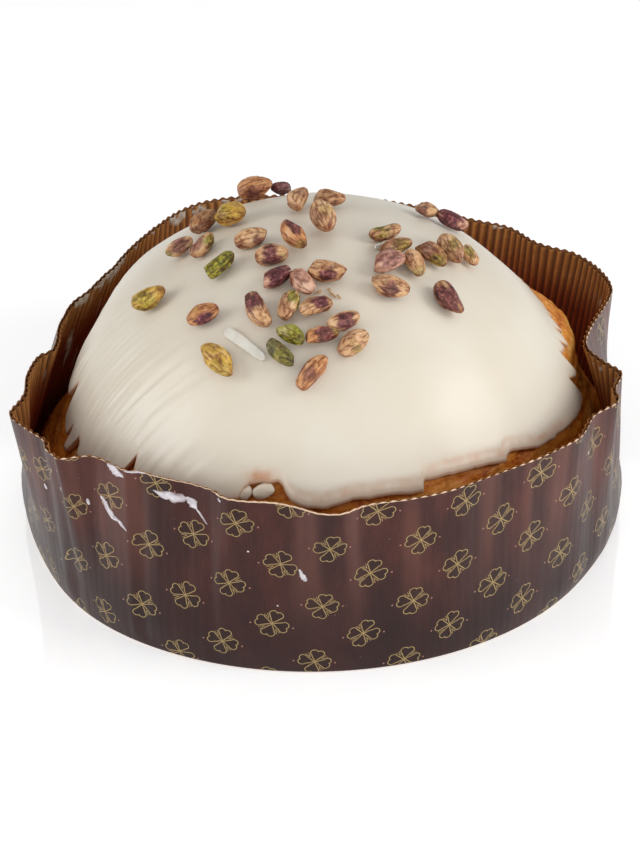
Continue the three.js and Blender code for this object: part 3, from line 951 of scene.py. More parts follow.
# Lower edge: azimuth about the dome, height.
# Where the edge is slit aslant, the whole layer leans with it.
icingEdge = [
    (2.8, 68), (4.2, 70.6), (4.6, 68.2), (7, 69.8), (8.8, 72.2), (9.2, 69.8), (12.2, 72),
    (13.6, 74.2), (14.1, 71.8), (17, 73.6), (17.4, 72.2), (20.1, 72.8), (22.7, 73), (25, 71.6),
    (28.1, 70.6), (36.6, 69), (44, 67), (52, 64), (60, 61), (67, 59.5), (75, 57), (82, 56.5),
    (90, 55), (98, 57), (105, 58), (112, 56), (120, 55), (128, 57), (135, 57), (143, 54.5),
    (150, 54), (158, 55.5), (165, 56), (171, 56.5), (178.3, 56), (182, 55), (184.5, 55),
    (186.2, 56.3), (187.5, 60), (189.2, 65.2), (189.7, 65.4), (190.5, 62), (191.2, 55.4),
    (191.7, 50.7), (194.8, 48.5), (197.3, 48.1), (197.9, 52), (198.6, 55.5), (199.1, 52),
    (200, 44.5), (202.2, 45), (203, 50), (203.6, 54), (205.1, 52.4), (206.4, 47.5), (211, 48),
    (216.2, 50.5), (221.3, 54), (222.3, 56), (222.9, 58.9), (223.5, 63), (224.1, 62), (224.8, 58.5),
    (225.8, 55.6), (228.6, 54.6), (231, 52.5), (235, 52), (240, 53.5), (244, 55), (249, 58),
    (251.8, 59.6), (252.6, 62.6), (253.8, 64.6), (256, 65.4), (258.4, 65.6), (260.2, 66.2),
    (261.3, 65), (262, 62.6), (263.2, 60.2), (266.8, 58.2), (270.6, 57.8), (273.6, 59.2),
    (276, 60.2), (278.1, 60.4), (285.8, 60.2), (292, 59.4), (292.3, 62.9), (295.5, 62.4),
    (300, 62.4), (303.6, 61.9), (307.3, 61.2), (311.2, 60.3), (313.8, 58.7), (314.6, 60.3),
    (315.9, 61.3), (318.8, 60.5), (324.5, 56.7), (328.6, 55.6), (330.9, 54.5), (331.5, 55.5),
    (335.7, 53.9), (341.6, 51.8), (348.1, 50), (350.6, 50.6), (351.2, 54), (351.9, 61.5),
    (352.5, 62.8), (353.4, 61.6), (355.6, 59.4), (357.4, 60), (358.2, 62.5), (359, 66.5),
    (359.9, 69.6), (361, 68.2),
]
# The lean: azimuth, spread in degrees, degrees per millimetre about a height.
edgeLean = {"leans": [(205, 20, 0.38), (0, 22, -0.7)], "height": 58.0, "soft": 14.0}


def leaned(azimuth, z):
    # azimuth plus the lean times a height that levels off with the hyperbolic tangent
    e = edgeLean
    lean = sum(rate * bump(turnBetween(azimuth, at), spread) for at, spread, rate in e["leans"])
    return azimuth + lean * e["soft"] * np.tanh((z - e["height"]) / e["soft"])


def edgeHeight(azimuth):
    table = np.array(icingEdge, float)
    height = np.interp(azimuth, table[:, 0], table[:, 1], period=360)
    a = np.radians(azimuth)
    ring = triple(90 * np.cos(a), 90 * np.sin(a), 0)
    height = height + icing["ragged"] * noise(ring, 2.6, 61, 2)
    behind = smooth((np.abs(turnBetween(azimuth, 270)) - 60) / 40)
    return height + behind * icing["raggedBehind"] * noise(ring, 9.0, 67, 2)


def icingRelief(point, azimuth):
    # slow lumps, and on the left flank fine strokes that run down and forwards
    k = streaks
    slow = icing["lumps"] * noise(point, (20.0, 20.0, 14.0), 71, 2)
    down = np.array(k["down"])
    across = unit(np.cross(down, k["outward"]))
    third = unit(np.cross(down, across))
    down = unit(down)
    turned = np.stack([point @ down, point @ across, point @ third], -1)
    strokes = noise(turned, (k["long"], k["narrow"], k["long"]), 73, 2)
    side = bump(turnBetween(azimuth, k["azimuth"]), k["spread"])
    side = side * smooth((k["top"] - point[..., 2]) / k["fade"])
    return slow + k["depth"] * strokes * side


def icingRows():
    # from the underside round the lip, then up the outside to the top
    c = icing
    az = 360 * np.arange(c["columns"]) / c["columns"]
    edge = edgeHeight(az)
    reach = bread["top"] - c["topGap"] - edge[None, :]
    t = (np.arange(c["rows"]) + 0.5) / c["rows"]
    climb = 1 - (1 - t) ** c["crowding"]
    heights = edge[None, :] + reach * climb[:, None]
    near = heights - edge[None, :]
    middle, half, soft = c["front"]
    front = smooth((half - np.abs(turnBetween(az, middle))) / soft)[None, :]
    begin, soft = c["frontStart"]
    front = front * smooth((az - begin) / soft)[None, :]
    groove = bump(near - c["beadHeight"], c["grooveWidth"]) * front
    swell = c["bead"] * bump(near - 1.0, 1.0) * (0.3 + 0.7 * front) - c["grooveDepth"] * groove
    point, out = overBread(leaned(az[None, :], heights), heights, c["outer"] + swell)
    fade = smooth((bread["top"] - heights) / 6)
    raised = icingRelief(point, az[None, :]) * smooth(near / 3) * (0.3 + 0.7 * fade)
    point = point + out * raised[..., None]
    half = (c["outer"] - c["inner"]) / 2
    angles = np.radians(c["lipAngles"])[:, None]
    lipZ = edge[None, :] + c["lipUp"] - c["lip"] * np.cos(angles)
    lipOff = c["inner"] + half * (1 + np.sin(angles)) + 0 * lipZ
    lip, _ = overBread(leaned(az[None, :], lipZ), lipZ, lipOff)
    under = np.array([0.02, 0.15, 0.4, 0.75])[:, None]
    underZ = edge[None, :] + reach * (1 - (1 - under) ** c["crowding"])
    inside, _ = overBread(leaned(az[None, :], underZ), underZ, c["inner"] + 0 * underZ)
    rows = np.concatenate([inside[::-1], lip, point])
    # thin: how far the crust shows through, at the edge, in the groove and as a stain above the gap
    stain = 0
    for at, wide, height, tall, strength in icingStains:
        spot = strength * bump(turnBetween(az, at)[None, :], wide) * bump(heights - height, tall)
        stain = np.maximum(stain, spot)
    spread = 0.75 + 0.5 * noise(point, (3.0, 3.0, 1.2), 79, 2)
    onFace = np.maximum(c["grooveThin"] * groove * spread, stainStrength * stain * spread)
    onFace = np.maximum(c["edgeThin"] * np.exp(-near / c["edgeThinDepth"]), onFace)
    onLip = np.linspace(1, c["edgeThin"], len(angles))[:, None] + 0 * lipZ
    thin = np.concatenate([np.ones(inside.shape[:2]), onLip, onFace])
    return rows, thin


icingColours = {
    "cream": [(0.3, (227, 216, 197)), (0.7, (234, 226, 210))],
    "thin": (0.75, (204, 138, 88)),
}


def creamIcing():
    material, tree, shader = startMaterial("creamIcing", Roughness=0.38, Coat_Weight=0.08,
                                           Coat_Roughness=0.25)
    place = onObject(tree)
    cream = ramp(tree, cloud(tree, place, 22.0, 3.0), icingColours["cream"])
    paint(tree, shader, tint(tree, cream, attribute(tree, "thin"), *icingColours["thin"]))
    relief(tree, shader, cloud(tree, place, 260.0, 4.0), 0.0001, 0.35)
    return material


icingGrid, icingThin = icingRows()
icingCream = creamIcing()
topX, topY = bread["shift"]
skin = surface("icingSkin", icingGrid, icingCream, bottom=(topX, topY, bread["top"] + icing["inner"]),
               top=(topX, topY, bread["top"] + icing["outer"]), values={"thin": icingThin})

# Lumps of icing in the gap: azimuth, height, half width, half height, turn, thickness.
icingBits = [(257.1, 62.5, 4.2, 2.5, 30, 1.3), (252.9, 61.2, 3.0, 2.4, 60, 1.2)]
bitDepth = 1.3  # how far a lump's middle is behind the icing's face


def bitRows(azimuth, z, wide, tall, turn, thickness, seed):
    # a flattened, slightly uneven ellipsoid that almost fills the gap
    at, out = overBread(np.array([azimuth]), np.array([float(z)]), np.array([icing["outer"] - bitDepth]))
    level = unit(np.cross([0.0, 0.0, 1.0], out[0]))
    rise = np.cross(out[0], level)
    t = np.radians(turn)
    first, second = level * np.cos(t) + rise * np.sin(t), rise * np.cos(t) - level * np.sin(t)
    up = np.radians(np.linspace(-84, 84, 19))[:, None]
    around = 2 * np.pi * np.arange(40)[None, :] / 40
    ball = triple(np.cos(up) * np.cos(around), np.cos(up) * np.sin(around), np.sin(up) + 0 * around)
    ball = ball * (1 + 0.12 * noise(ball, 0.9, seed, 2))[..., None]
    rows = at[0] + ball[..., :1] * wide * first
    rows = rows + ball[..., 1:2] * tall * second + ball[..., 2:] * thickness * out[0]
    return rows, poles(rows)


icingParts = [skin]
for number, row in enumerate(icingBits, 1):
    points, tips = bitRows(*row, 800 + number)
    low = 0.6 * np.exp(-np.linspace(0, 1, len(points)) * 5)[:, None]
    low = 0.12 + low + np.zeros(points.shape[:2])
    icingParts.append(surface(f"icingBit{number}", points, icingCream, bottom=tips[0], top=tips[1],
                              values={"thin": low}))
glaze = joined("glaze", icingParts)
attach(glaze, "root")
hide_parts("icing")
print("icing")

# The camera, 31 degrees above the table, rolled a little

photoCamera = {
    "pitch": 31.0,
    "distance": 942.0,
    "target": (0.94, 0.0, 30.4),
    "roll": -1.3,
    "focal": 2493.0,  # in pixels of the photo
    "frameHeight": 853,
    "sensor": 36.0,
}


def cameraAxes():
    # right, up and back of the turned camera, and the place it stands at
    c = photoCamera
    pitch, roll = np.radians(c["pitch"]), np.radians(c["roll"])
    back = np.array([0, -np.cos(pitch), np.sin(pitch)])
    right = np.array([1.0, 0.0, 0.0])
    up = np.cross(back, right)
    turned = np.cos(roll) * right + np.sin(roll) * up
    up = np.cos(roll) * up - np.sin(roll) * right
    return turned, up, back, np.array(c["target"]) + back * c["distance"]


viewRight, viewUp, viewBack, viewFrom = cameraAxes()
lens = bpy.data.cameras.new("photoCamera")
lens.sensor_width = photoCamera["sensor"]
lens.lens = photoCamera["focal"] * photoCamera["sensor"] / photoCamera["frameHeight"]
lens.clip_start = 0.05
camera = added("photoCamera", lens)
camera.matrix_world = placed(viewRight, viewUp, viewBack, viewFrom * millimetre)
bpy.context.scene.camera = camera

# Pistachio kernels

kernelShape = {
    "rows": 58,
    "columns": 56,
    "flatness": 0.86,
    "blunt": 0.84,
    "full": 0.40,
    "square": 0.84,
    "wider": 1.06,
    "wrinkle": 0.42,
    "wrinkleCell": 1.5,
    "wrinkleWidth": 0.2,
    "lump": 0.40,
    "lumpCell": 2.6,
    "drawnOut": 0.30,  # grooves and lumps run lengthwise
    "flats": 5,
    "flatAt": 0.80,
    "flatCut": 0.85,
    "bend": 0.06,
    "sunk": 0.1,
    "tip": 0.02,
    "patchCell": (1.8, 1.8, 2.6),
    "patchReach": 1.15,
    "patchFrayed": 0.55,
    "patchSoft": 0.5,
}

# x, y, length, width, heading, tilt, roll; colour of the skin; then purple and green,
# each as a patch on the side that the photograph shows: right, up, size (in half lengths), strength.
kernels = [
    (-20.5, 39, 13.5, 9.5, 8, 0, 10, "orange", (0.0, -0.5, 0.5, 0.7), (0, 0, 0.1, 0)),
    (-11.5, 46, 10, 6, 60, 0, 0, "grey", (0.0, 0.0, 0.8, 0.8), (0, 0, 0.1, 0)),
    (-28.5, 1, 12.5, 9, -30, 0, 20, "yellow", (0.0, -0.6, 0.3, 0.2), (-0.4, 0.0, 0.5, 0.4)),
    (-38, 3, 13.5, 7.5, 58, 0, 0, "brown", (0.2, -0.3, 0.4, 0.4), (0, 0, 0.1, 0)),
    (-38.5, -14.5, 12.5, 6, 52, 0, 30, "tan", (-0.4, -0.1, 0.5, 0.7), (0.5, 0.2, 0.4, 0.8)),
    (-46.5, -9.5, 11, 6.5, 19, 0, 0, "tan", (0.0, 0.2, 0.7, 0.8), (-0.8, -0.6, 0.3, 0.7)),
    (-4.5, 2.5, 12.5, 7, 74, 14, 0, "tan", (0.2, 0.3, 0.35, 0.4), (0, 0, 0.1, 0)),
    (6, 5.5, 12.5, 6, -20, 6, 40, "tan", (0.3, -0.3, 0.3, 0.4), (0, 0, 0.1, 0)),
    (3.5, -15, 13.5, 8.5, -72, -20, 0, "tan", (-0.2, -0.2, 0.3, 0.3), (0.2, 0.3, 0.3, 0.3)),
    (-21, -20.5, 12.5, 7, 4, 0, 15, "tan", (0.4, -0.2, 0.4, 0.8), (0, 0, 0.1, 0)),
    (-6, -23.5, 14, 7, -64, -12, 0, "orange", (-0.1, 0.4, 0.5, 0.9), (0.3, -0.7, 0.3, 0.4)),
    (-32, -30.5, 13.5, 6.5, 42, 0, 0, "green", (0.7, 0.3, 0.2, 0.2), (0, 0, 1.3, 1.0)),
    (-14, -32.5, 12, 7, 5, 0, 20, "tan", (0.0, 0.0, 0.55, 0.95), (0.6, -0.2, 0.4, 0.5)),
    (4.5, -41.5, 14, 7.5, -11, 0, 0, "tan", (0.1, -0.25, 0.5, 0.95), (0, 0, 0.1, 0)),
    (-12.5, -42.5, 12, 6.5, 31, 0, 0, "pink", (0.1, 0.1, 0.8, 1.0), (0, 0, 0.1, 0)),
    (-4, -46.5, 11.5, 7, -54, 0, 10, "pink", (0.0, 0.3, 0.4, 0.3), (0, 0, 0.1, 0)),
    (25, -17, 14.5, 6, 42, 0, 0, "tan", (0.3, -0.1, 0.3, 0.2), (-0.2, 0.3, 0.6, 0.9)),
    (28.5, -25.5, 15, 6, 42, 0, 20, "brown", (-0.2, 0.1, 0.3, 0.3), (0.3, 0.0, 0.4, 0.5)),
    (25.5, -35, 14, 7.5, 38, 0, 0, "pink", (0.0, 0.1, 0.6, 0.6), (0, 0, 0.1, 0)),
    (25.5, -45.5, 14, 7.5, -8, 0, 0, "tan", (0.0, -0.35, 0.5, 0.8), (0, 0, 0.1, 0)),
    (34.5, -32, 12, 6.5, -66, 0, 30, "tan", (-0.2, 0.3, 0.3, 0.3), (0.2, -0.5, 0.4, 0.5)),
    (41, 12, 10, 6, 34, 0, 0, "tan", (-0.4, 0.0, 0.5, 0.7), (0, 0, 0.1, 0)),
    (50, 12, 13, 6.5, 8, 0, 0, "pink", (-0.2, 0.0, 0.9, 1.0), (0, 0, 0.1, 0)),
    (47.5, -17.5, 13.5, 8, -54, 0, 0, "tan", (0.4, -0.3, 0.3, 0.3), (0.0, 0.2, 0.35, 0.6)),
    (40.5, -24.5, 13, 6.5, -32, 0, 20, "brown", (-0.2, 0.2, 0.4, 0.5), (0.3, -0.4, 0.45, 0.6)),
    (45.5, -43, 14, 7.5, -46, 0, 0, "brown", (0.0, 0.0, 0.8, 0.9), (0, 0, 0.1, 0)),
    (-37.5, -49.5, 12, 6.5, 10, 0, 0, "orange", (0.15, -0.35, 0.7, 1.0), (-0.5, 0.4, 0.3, 0.2)),
    (-32.5, -67, 16, 8, -56, 0, 0, "yellow", (-0.3, 0.5, 0.3, 0.2), (0.1, -0.4, 0.4, 0.3)),
    (-18.5, -54.5, 16, 7.5, -72, 0, 15, "tan", (-0.15, 0.3, 0.5, 0.95), (0, 0, 0.1, 0)),
    (-8.5, -54.5, 12, 6.5, 66, 0, 0, "tan", (-0.5, 0.5, 0.3, 0.3), (0.3, 0.4, 0.5, 0.9)),
    (0.5, -56, 12, 6.5, 22, 0, 0, "tan", (0.3, 0.25, 0.45, 1.0), (0, 0, 0.1, 0)),
    (9.5, -60.5, 12, 6.5, 28, 0, 20, "tan", (0.1, 0.0, 0.6, 0.95), (-0.3, 0.6, 0.3, 0.5)),
    (-8, -64.5, 11, 6, -42, 0, 0, "green", (0, 0, 0.1, 0), (0.0, -0.3, 0.8, 1.0)),
    (2, -65.5, 12, 6, 14, 0, 0, "orange", (0.3, 0.0, 0.6, 0.9), (0.8, 0.3, 0.25, 0.6)),
    (-11, -69.5, 13, 6, -54, 0, 10, "dark", (0.0, 0.4, 0.3, 0.2), (0.0, -0.4, 0.7, 0.5)),
    (12.5, -67.5, 12.5, 7.5, 46, 0, 0, "tan", (-0.2, 0.3, 0.3, 0.3), (0.2, -0.3, 0.4, 0.5)),
    (-1, -76, 14.5, 7, 57, 0, 0, "orange", (-0.2, 0.0, 0.45, 0.7), (0, 0, 0.1, 0)),
    (-56.5, -30, 14, 7.5, -3, 0, 0, "yellow", (0.6, 0.3, 0.2, 0.3), (-0.1, -0.3, 0.6, 0.6)),
    (54.5, -14, 10, 5.5, -54, 0, 0, "tan", (0, 0, 0.1, 0), (0.0, 0.3, 0.5, 0.7)),
]

skinTones = {
    "tan": ((150, 90, 52), (222, 174, 124)),
    "orange": ((152, 80, 40), (218, 154, 96)),
    "yellow": ((158, 110, 22), (224, 180, 72)),
    "brown": ((112, 60, 30), (184, 128, 76)),
    "pink": ((154, 86, 74), (224, 172, 144)),
    "grey": ((92, 60, 58), (158, 120, 108)),
    "green": ((78, 84, 14), (152, 148, 44)),
    "dark": ((52, 48, 22), (122, 112, 58)),
}


def icingHeight(x, y):
    # halving between the foot of the dome and its top
    low, high = bread["domeBase"], bread["top"] + icing["outer"]
    for _ in range(40):
        z = (low + high) / 2
        cx, cy = domeCentre(z)
        azimuth = np.degrees(np.arctan2(y - cy, x - cx)) % 360
        scaled = z * bread["top"] / (bread["top"] + icing["outer"])
        if np.hypot(x - cx, y - cy) < breadRadius(azimuth, scaled) + icing["outer"]:
            low = z
        else:
            high = z
    return (low + high) / 2


def turnAbout(v, axis, degrees):
    # v turned about a unit axis: v cos a + (axis x v) sin a + axis (axis . v) (1 - cos a)
    a = np.radians(degrees)
    return v * np.cos(a) + np.cross(axis, v) * np.sin(a) + axis * np.dot(axis, v) * (1 - np.cos(a))


def surfaceFrame(x, y, heading, tilt):
    # a place on the icing with its normal, the piece's own length, its side and its lifted normal
    d = 1.5
    slopeX = (icingHeight(x - d, y) - icingHeight(x + d, y)) / (2 * d)
    slopeY = (icingHeight(x, y - d) - icingHeight(x, y + d)) / (2 * d)
    up = unit(np.array([slopeX, slopeY, 1.0]))
    along = np.array([np.cos(np.radians(heading)), np.sin(np.radians(heading)), 0.0])
    along = unit(along - up * np.dot(along, up))
    side = np.cross(up, along)
    at = np.array([x, y, icingHeight(x, y)])
    return at, up, turnAbout(along, side, -tilt), side, turnAbout(up, side, -tilt)


def kernelRows(number, row):
    # an almond: girth = sin(pi s^blunt)^full along its length, cut by a few flats,
    # with thin lengthwise grooves
    k = kernelShape
    x, y, length, width, heading, tilt, roll = row[:7]
    at, up, axis, side, lifted = surfaceFrame(x, y, heading, tilt)
    width = width * k["wider"]
    thick = width * k["flatness"]
    centre = at + up * (thick / 2 + abs(np.sin(np.radians(tilt)) * length / 2) * 0.8 - k["sunk"])
    s = 0.5 - 0.5 * np.cos(np.pi * (np.arange(k["rows"]) + 0.7) / (k["rows"] + 0.4))
    s = s[:, None]
    angle = 2 * np.pi * np.arange(k["columns"])[None, :] / k["columns"]
    girth = np.sin(np.pi * s ** k["blunt"]) ** k["full"]
    a = girth * width / 2 * np.sign(np.cos(angle)) * np.abs(np.cos(angle)) ** k["square"]
    b = girth * thick / 2 * np.sign(np.sin(angle)) * np.abs(np.sin(angle)) ** k["square"]
    spot = triple(np.cos(angle) * width / 2, np.sin(angle) * width / 2, (s - 0.5) * length * k["drawnOut"])
    wrinkle = np.exp(-(noise(spot, k["wrinkleCell"], 101 + number, 3) / k["wrinkleWidth"]) ** 2)
    lump = noise(spot, k["lumpCell"], 201 + number, 3)
    grow = 1 + (k["lump"] * lump - k["wrinkle"] * wrinkle) / (width / 2) * smooth(girth * 1.6)
    local = triple(a * grow, b * grow, (s - 0.5) * length)
    # each flat takes off what stands above a plane at a share of the half width in its direction
    rng = np.random.default_rng(900 + number)
    half = np.array([width, thick, length]) / 2
    for normal in unit(rng.normal(size=(k["flats"], 3)) * (1, 1, 0.45)):
        above = local @ normal - k["flatAt"] * np.linalg.norm(half * normal)
        local = local - k["flatCut"] * np.clip(above, 0, None)[..., None] * normal
    a, b, along = local[..., 0], local[..., 1], local[..., 2]
    turn = np.radians(roll)
    bend = k["bend"] * length * np.sin(np.pi * s) * np.sin(number * 2.1)
    sideways = a * np.cos(turn) - b * np.sin(turn) + bend
    upward = a * np.sin(turn) + b * np.cos(turn)
    rows = centre + along[..., None] * axis + sideways[..., None] * side + upward[..., None] * lifted
    first, last = poles(rows)
    ends = first - axis * k["tip"], last + axis * k["tip"]
    seen = (rows - centre) / (length / 2)
    right, above = seen @ viewRight, seen @ viewUp
    patches = []
    for dx, dy, spread, strength in row[8:10]:
        away = np.hypot(right - dx, above - dy) / spread
        frayed = k["patchFrayed"] * noise(spot, k["patchCell"], 401 + number + 7 * len(patches), 3)
        patches.append(strength * smooth((k["patchReach"] - away + frayed) / k["patchSoft"]))
    # painted shade: the edges by the seat, where the kernel sits in the icing, and the tips are browner
    standing = (rows - centre) @ up / (thick / 2)
    rim = smooth((0.25 - standing) / 0.6) * 0.35 + 0.35 * smooth((0.6 - girth) / 0.3)
    return rows, ends, patches[0], patches[1], np.clip(wrinkle + rim, 0, 1.2)


kernelColours = {
    "cream": (244, 220, 190),
    "green": [(0.34, (62, 62, 4)), (0.5, (132, 128, 16)), (0.68, (208, 194, 66))],
    "purple": [(0.34, (54, 12, 22)), (0.5, (104, 36, 48)), (0.68, (184, 112, 104))],
    "paintedShade": (146, 92, 60),  # multiplied; painted shade in the wrinkles, by the seat and at the tips
    "paintedShadeShare": 0.85,
}


def kernelSkin(name, dark, light):
    k = kernelColours
    material, tree, shader = startMaterial("kernelSkin_" + name, Roughness=0.46)
    place = onObject(tree)
    mottle = cloud(tree, place, 700.0, 5.0, 0.7)
    patch = cloud(tree, place, 190.0, 3.0)
    shade = calc(tree, "MULTIPLY_ADD", mottle, 0.5, times(tree, patch, 0.5))
    pale = tuple(0.3 * np.array(light) + 0.7 * np.array(k["cream"]))
    colour = ramp(tree, shade, [(0.36, dark), (0.51, light), (0.70, pale)])
    for patchName in ("green", "purple"):
        patchColour = ramp(tree, mottle, k[patchName])
        colour = blendColour(tree, attribute(tree, patchName), colour, patchColour)
    deep = blendColour(tree, 1.0, colour, k["paintedShade"], "MULTIPLY")
    # painted shade in the wrinkles, by the seat and at the tips
    paint(tree, shader, tint(tree, colour, attribute(tree, "paintedShade"), k["paintedShadeShare"], deep))
    relief(tree, shader, mottle, 0.0005, 0.7)
    return material


skins = {name: kernelSkin(name, *pair) for name, pair in skinTones.items()}
for number, row in enumerate(kernels, 1):
    points, ends, purple, green, wrinkle = kernelRows(number, row)
    # the wrinkles and the browner rim together are the painted shade
    shades = {"purple": purple, "green": green, "paintedShade": wrinkle}
    kernel = surface(f"kernel{number:02d}", points, skins[row[7]], bottom=ends[0], top=ends[1],
                     values=shades)
    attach(kernel, "root")
    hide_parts(f"pistachio_{number:02d}")
print("pistachio kernels:", len(kernels))

# Crumbs of nut in the icing: x, y, length, width, thickness, heading.
crumbs = [
    (1.6, -48.3, 2.4, 1.0, 0.8, 40), (3.6, -50.2, 1.6, 1.0, 0.7, -20),
    (6.2, -49.2, 3.6, 0.7, 0.7, -48), (8.4, -50.2, 2.2, 0.7, 0.6, -60),
    (5.2, -47.2, 1.2, 0.8, 0.5, 10), (-31.5, -24.5, 1.4, 0.9, 0.6, 30),
]


def crumbRows(number, row):
    # a small uneven ellipsoid, half sunk
    x, y, length, width, thickness, heading = row
    at, up, axis, side, _ = surfaceFrame(x, y, heading, 0)
    s = np.radians(np.linspace(-84, 84, 16))[:, None]
    around = 2 * np.pi * np.arange(24)[None, :] / 24
    ball = triple(np.sin(s) + 0 * around, np.cos(s) * np.cos(around), np.cos(s) * np.sin(around))
    ball = ball * (1 + 0.3 * noise(ball, 0.8, 860 + number, 2))[..., None]
    rows = at + ball[..., :1] * length / 2 * axis
    rows = rows + ball[..., 1:2] * width / 2 * side + ball[..., 2:] * thickness / 2 * up
    return rows, poles(rows)


bits = []
for number, row in enumerate(crumbs, 1):
    points, tips = crumbRows(number, row)
    flat = np.full(points.shape[:2], 0.15)
    # the crumbs are darkened evenly through the same painted shade attribute
    bits.append(surface(f"crumb{number}", points, skins["tan"], bottom=tips[0], top=tips[1],
                        values={"purple": 0 * flat, "green": flat, "paintedShade": 0.6 * flat}))
nutCrumbs = joined("nutCrumbs", bits)
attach(nutCrumbs, "root")
print("nut crumbs")

# White slivers

# x, y, length, width, thickness, heading
slivers = [(-24, -63.5, 19, 4, 1.6, -53), (25, -22, 9.5, 1.2, 1.9, 42)]
sliverShape = {
    "rows": 40,
    "columns": 32,
    "square": 0.6,
    "sink": -0.35,
    "sag": 95.0,  # radius of the dome that it follows
    "rough": 0.16,
    "white": [(0.3, (222, 217, 203)), (0.7, (236, 233, 222))],
}


def squared(v):
    # a cosine or sine brought nearer to -1 and 1, which makes a circle squarer
    return np.sign(v) * np.abs(v) ** sliverShape["square"]


def sliverRows(number, row):
    # a rounded bar: a squared circle carried along, narrow at the far end, following the dome
    k = sliverShape
    x, y, length, width, thickness, heading = row
    at, up, axis, side, _ = surfaceFrame(x, y, heading, 0)
    s = np.sin(np.pi / 2 * np.linspace(-0.985, 0.985, k["rows"]))[:, None]
    angle = 2 * np.pi * np.arange(k["columns"])[None, :] / k["columns"]
    ends = (1 - np.abs(s) ** 14) ** 0.5
    wide = width / 2 * (0.9 + 0.12 * np.cos(2.2 * s) - 0.16 * s) * ends
    a = squared(np.cos(angle)) * wide
    b = squared(np.sin(angle)) * thickness / 2 * ends
    spot = triple(a, b, s * length / 2)
    rough = k["rough"] * noise(spot, 1.5, 601 + number, 3)
    lift = thickness / 2 + k["sink"] - s ** 2 * length ** 2 / (8 * k["sag"])
    rows = at + (s * length / 2)[..., None] * axis + (a + rough)[..., None] * side
    rows = rows + (b + lift + rough)[..., None] * up
    return rows, poles(rows)


def almondWhite():
    material, tree, shader = startMaterial("almondWhite", Roughness=0.5)
    place = onObject(tree)
    grain = cloud(tree, place, 300.0, 4.0)
    paint(tree, shader, ramp(tree, grain, sliverShape["white"]))
    relief(tree, shader, grain, 0.0003, 0.5)
    return material


sliverWhite = almondWhite()
for number, row in enumerate(slivers, 1):
    points, tips = sliverRows(number, row)
    shard = surface(f"sliver{number}", points, sliverWhite, bottom=tips[0], top=tips[1])
    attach(shard, "root")
    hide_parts(f"white_sliver_{number}")
print("white slivers")

# Icing smears on the outside of the case

# Each smear is a stroke: points as (share of the way round, height), then half widths and thickness.
smears = [
    ([(0.6365, 68.0), (0.6395, 67.6), (0.6440, 66.4), (0.6468, 65.6)], (0.8, 2.0, 1.7, 0.6), 0.5),
    ([(0.6470, 68.2), (0.6520, 68.3), (0.6575, 68.3)], (0.3, 0.5, 0.3), 0.25),
    ([(0.6615, 63.2), (0.6660, 62.4), (0.6720, 62.4), (0.6770, 62.6), (0.6800, 63.4)],
     (0.4, 1.3, 1.9, 1.5, 0.5), 0.6),
    ([(0.6785, 63.2), (0.6820, 61.4), (0.6838, 59.8)], (1.0, 1.8, 0.7), 0.8),
    ([(0.6835, 60.0), (0.6865, 57.6), (0.6893, 55.0)], (0.6, 0.35, 0.2), 0.35),
    ([(0.6310, 54.4), (0.6335, 53.0), (0.6365, 50.8), (0.6400, 49.0), (0.6440, 47.2), (0.6475, 45.2)],
     (0.8, 1.4, 0.9, 0.35, 1.2, 0.4), 0.4),
    ([(0.6330, 51.2), (0.6380, 48.6), (0.6420, 47.6)], (0.5, 1.0, 0.4), 0.3),
    ([(0.5853, 47.5), (0.5870, 45.5)], (0.6, 0.7), 0.3),
    ([(0.6064, 54.6), (0.6072, 53.0)], (0.6, 0.4), 0.3),
    ([(0.6233, 52.0), (0.6240, 49.5)], (0.5, 0.8), 0.3),
    ([(0.6965, 67.4), (0.6980, 66.2)], (0.4, 0.6), 0.3),
    ([(0.7352, 44.0), (0.7364, 42.0), (0.7376, 40.2), (0.7372, 39.3)], (0.9, 1.0, 1.1, 0.3), 0.5),
    ([(0.7105, 48.8), (0.7116, 49.0)], (0.35, 0.35), 0.2),
    ([(0.7240, 28.0), (0.7248, 28.1)], (0.35, 0.4), 0.2),
    ([(0.8972, 57.5), (0.8976, 56.0)], (0.5, 0.6), 0.25),
]
smearShape = {
    "steps": 26,
    "around": 28,
    "highest": 68.6,  # the print ends here
    "film": (0.85, (122, 92, 94)),
    "white": [(0.3, (196, 188, 194)), (0.7, (226, 222, 226))],
}


def wallPlain(u, z):
    # the printed face and its outward direction at any scattered places
    step = 0.0006
    face, after, before = (np.stack([*wallPlan(v, z), z], -1) for v in (u, u + step, u - step))
    along = after - before
    out = unit(np.stack([along[..., 1], -along[..., 0], 0 * u], -1))
    return face - out * foldDepth(u, z)[..., None], out


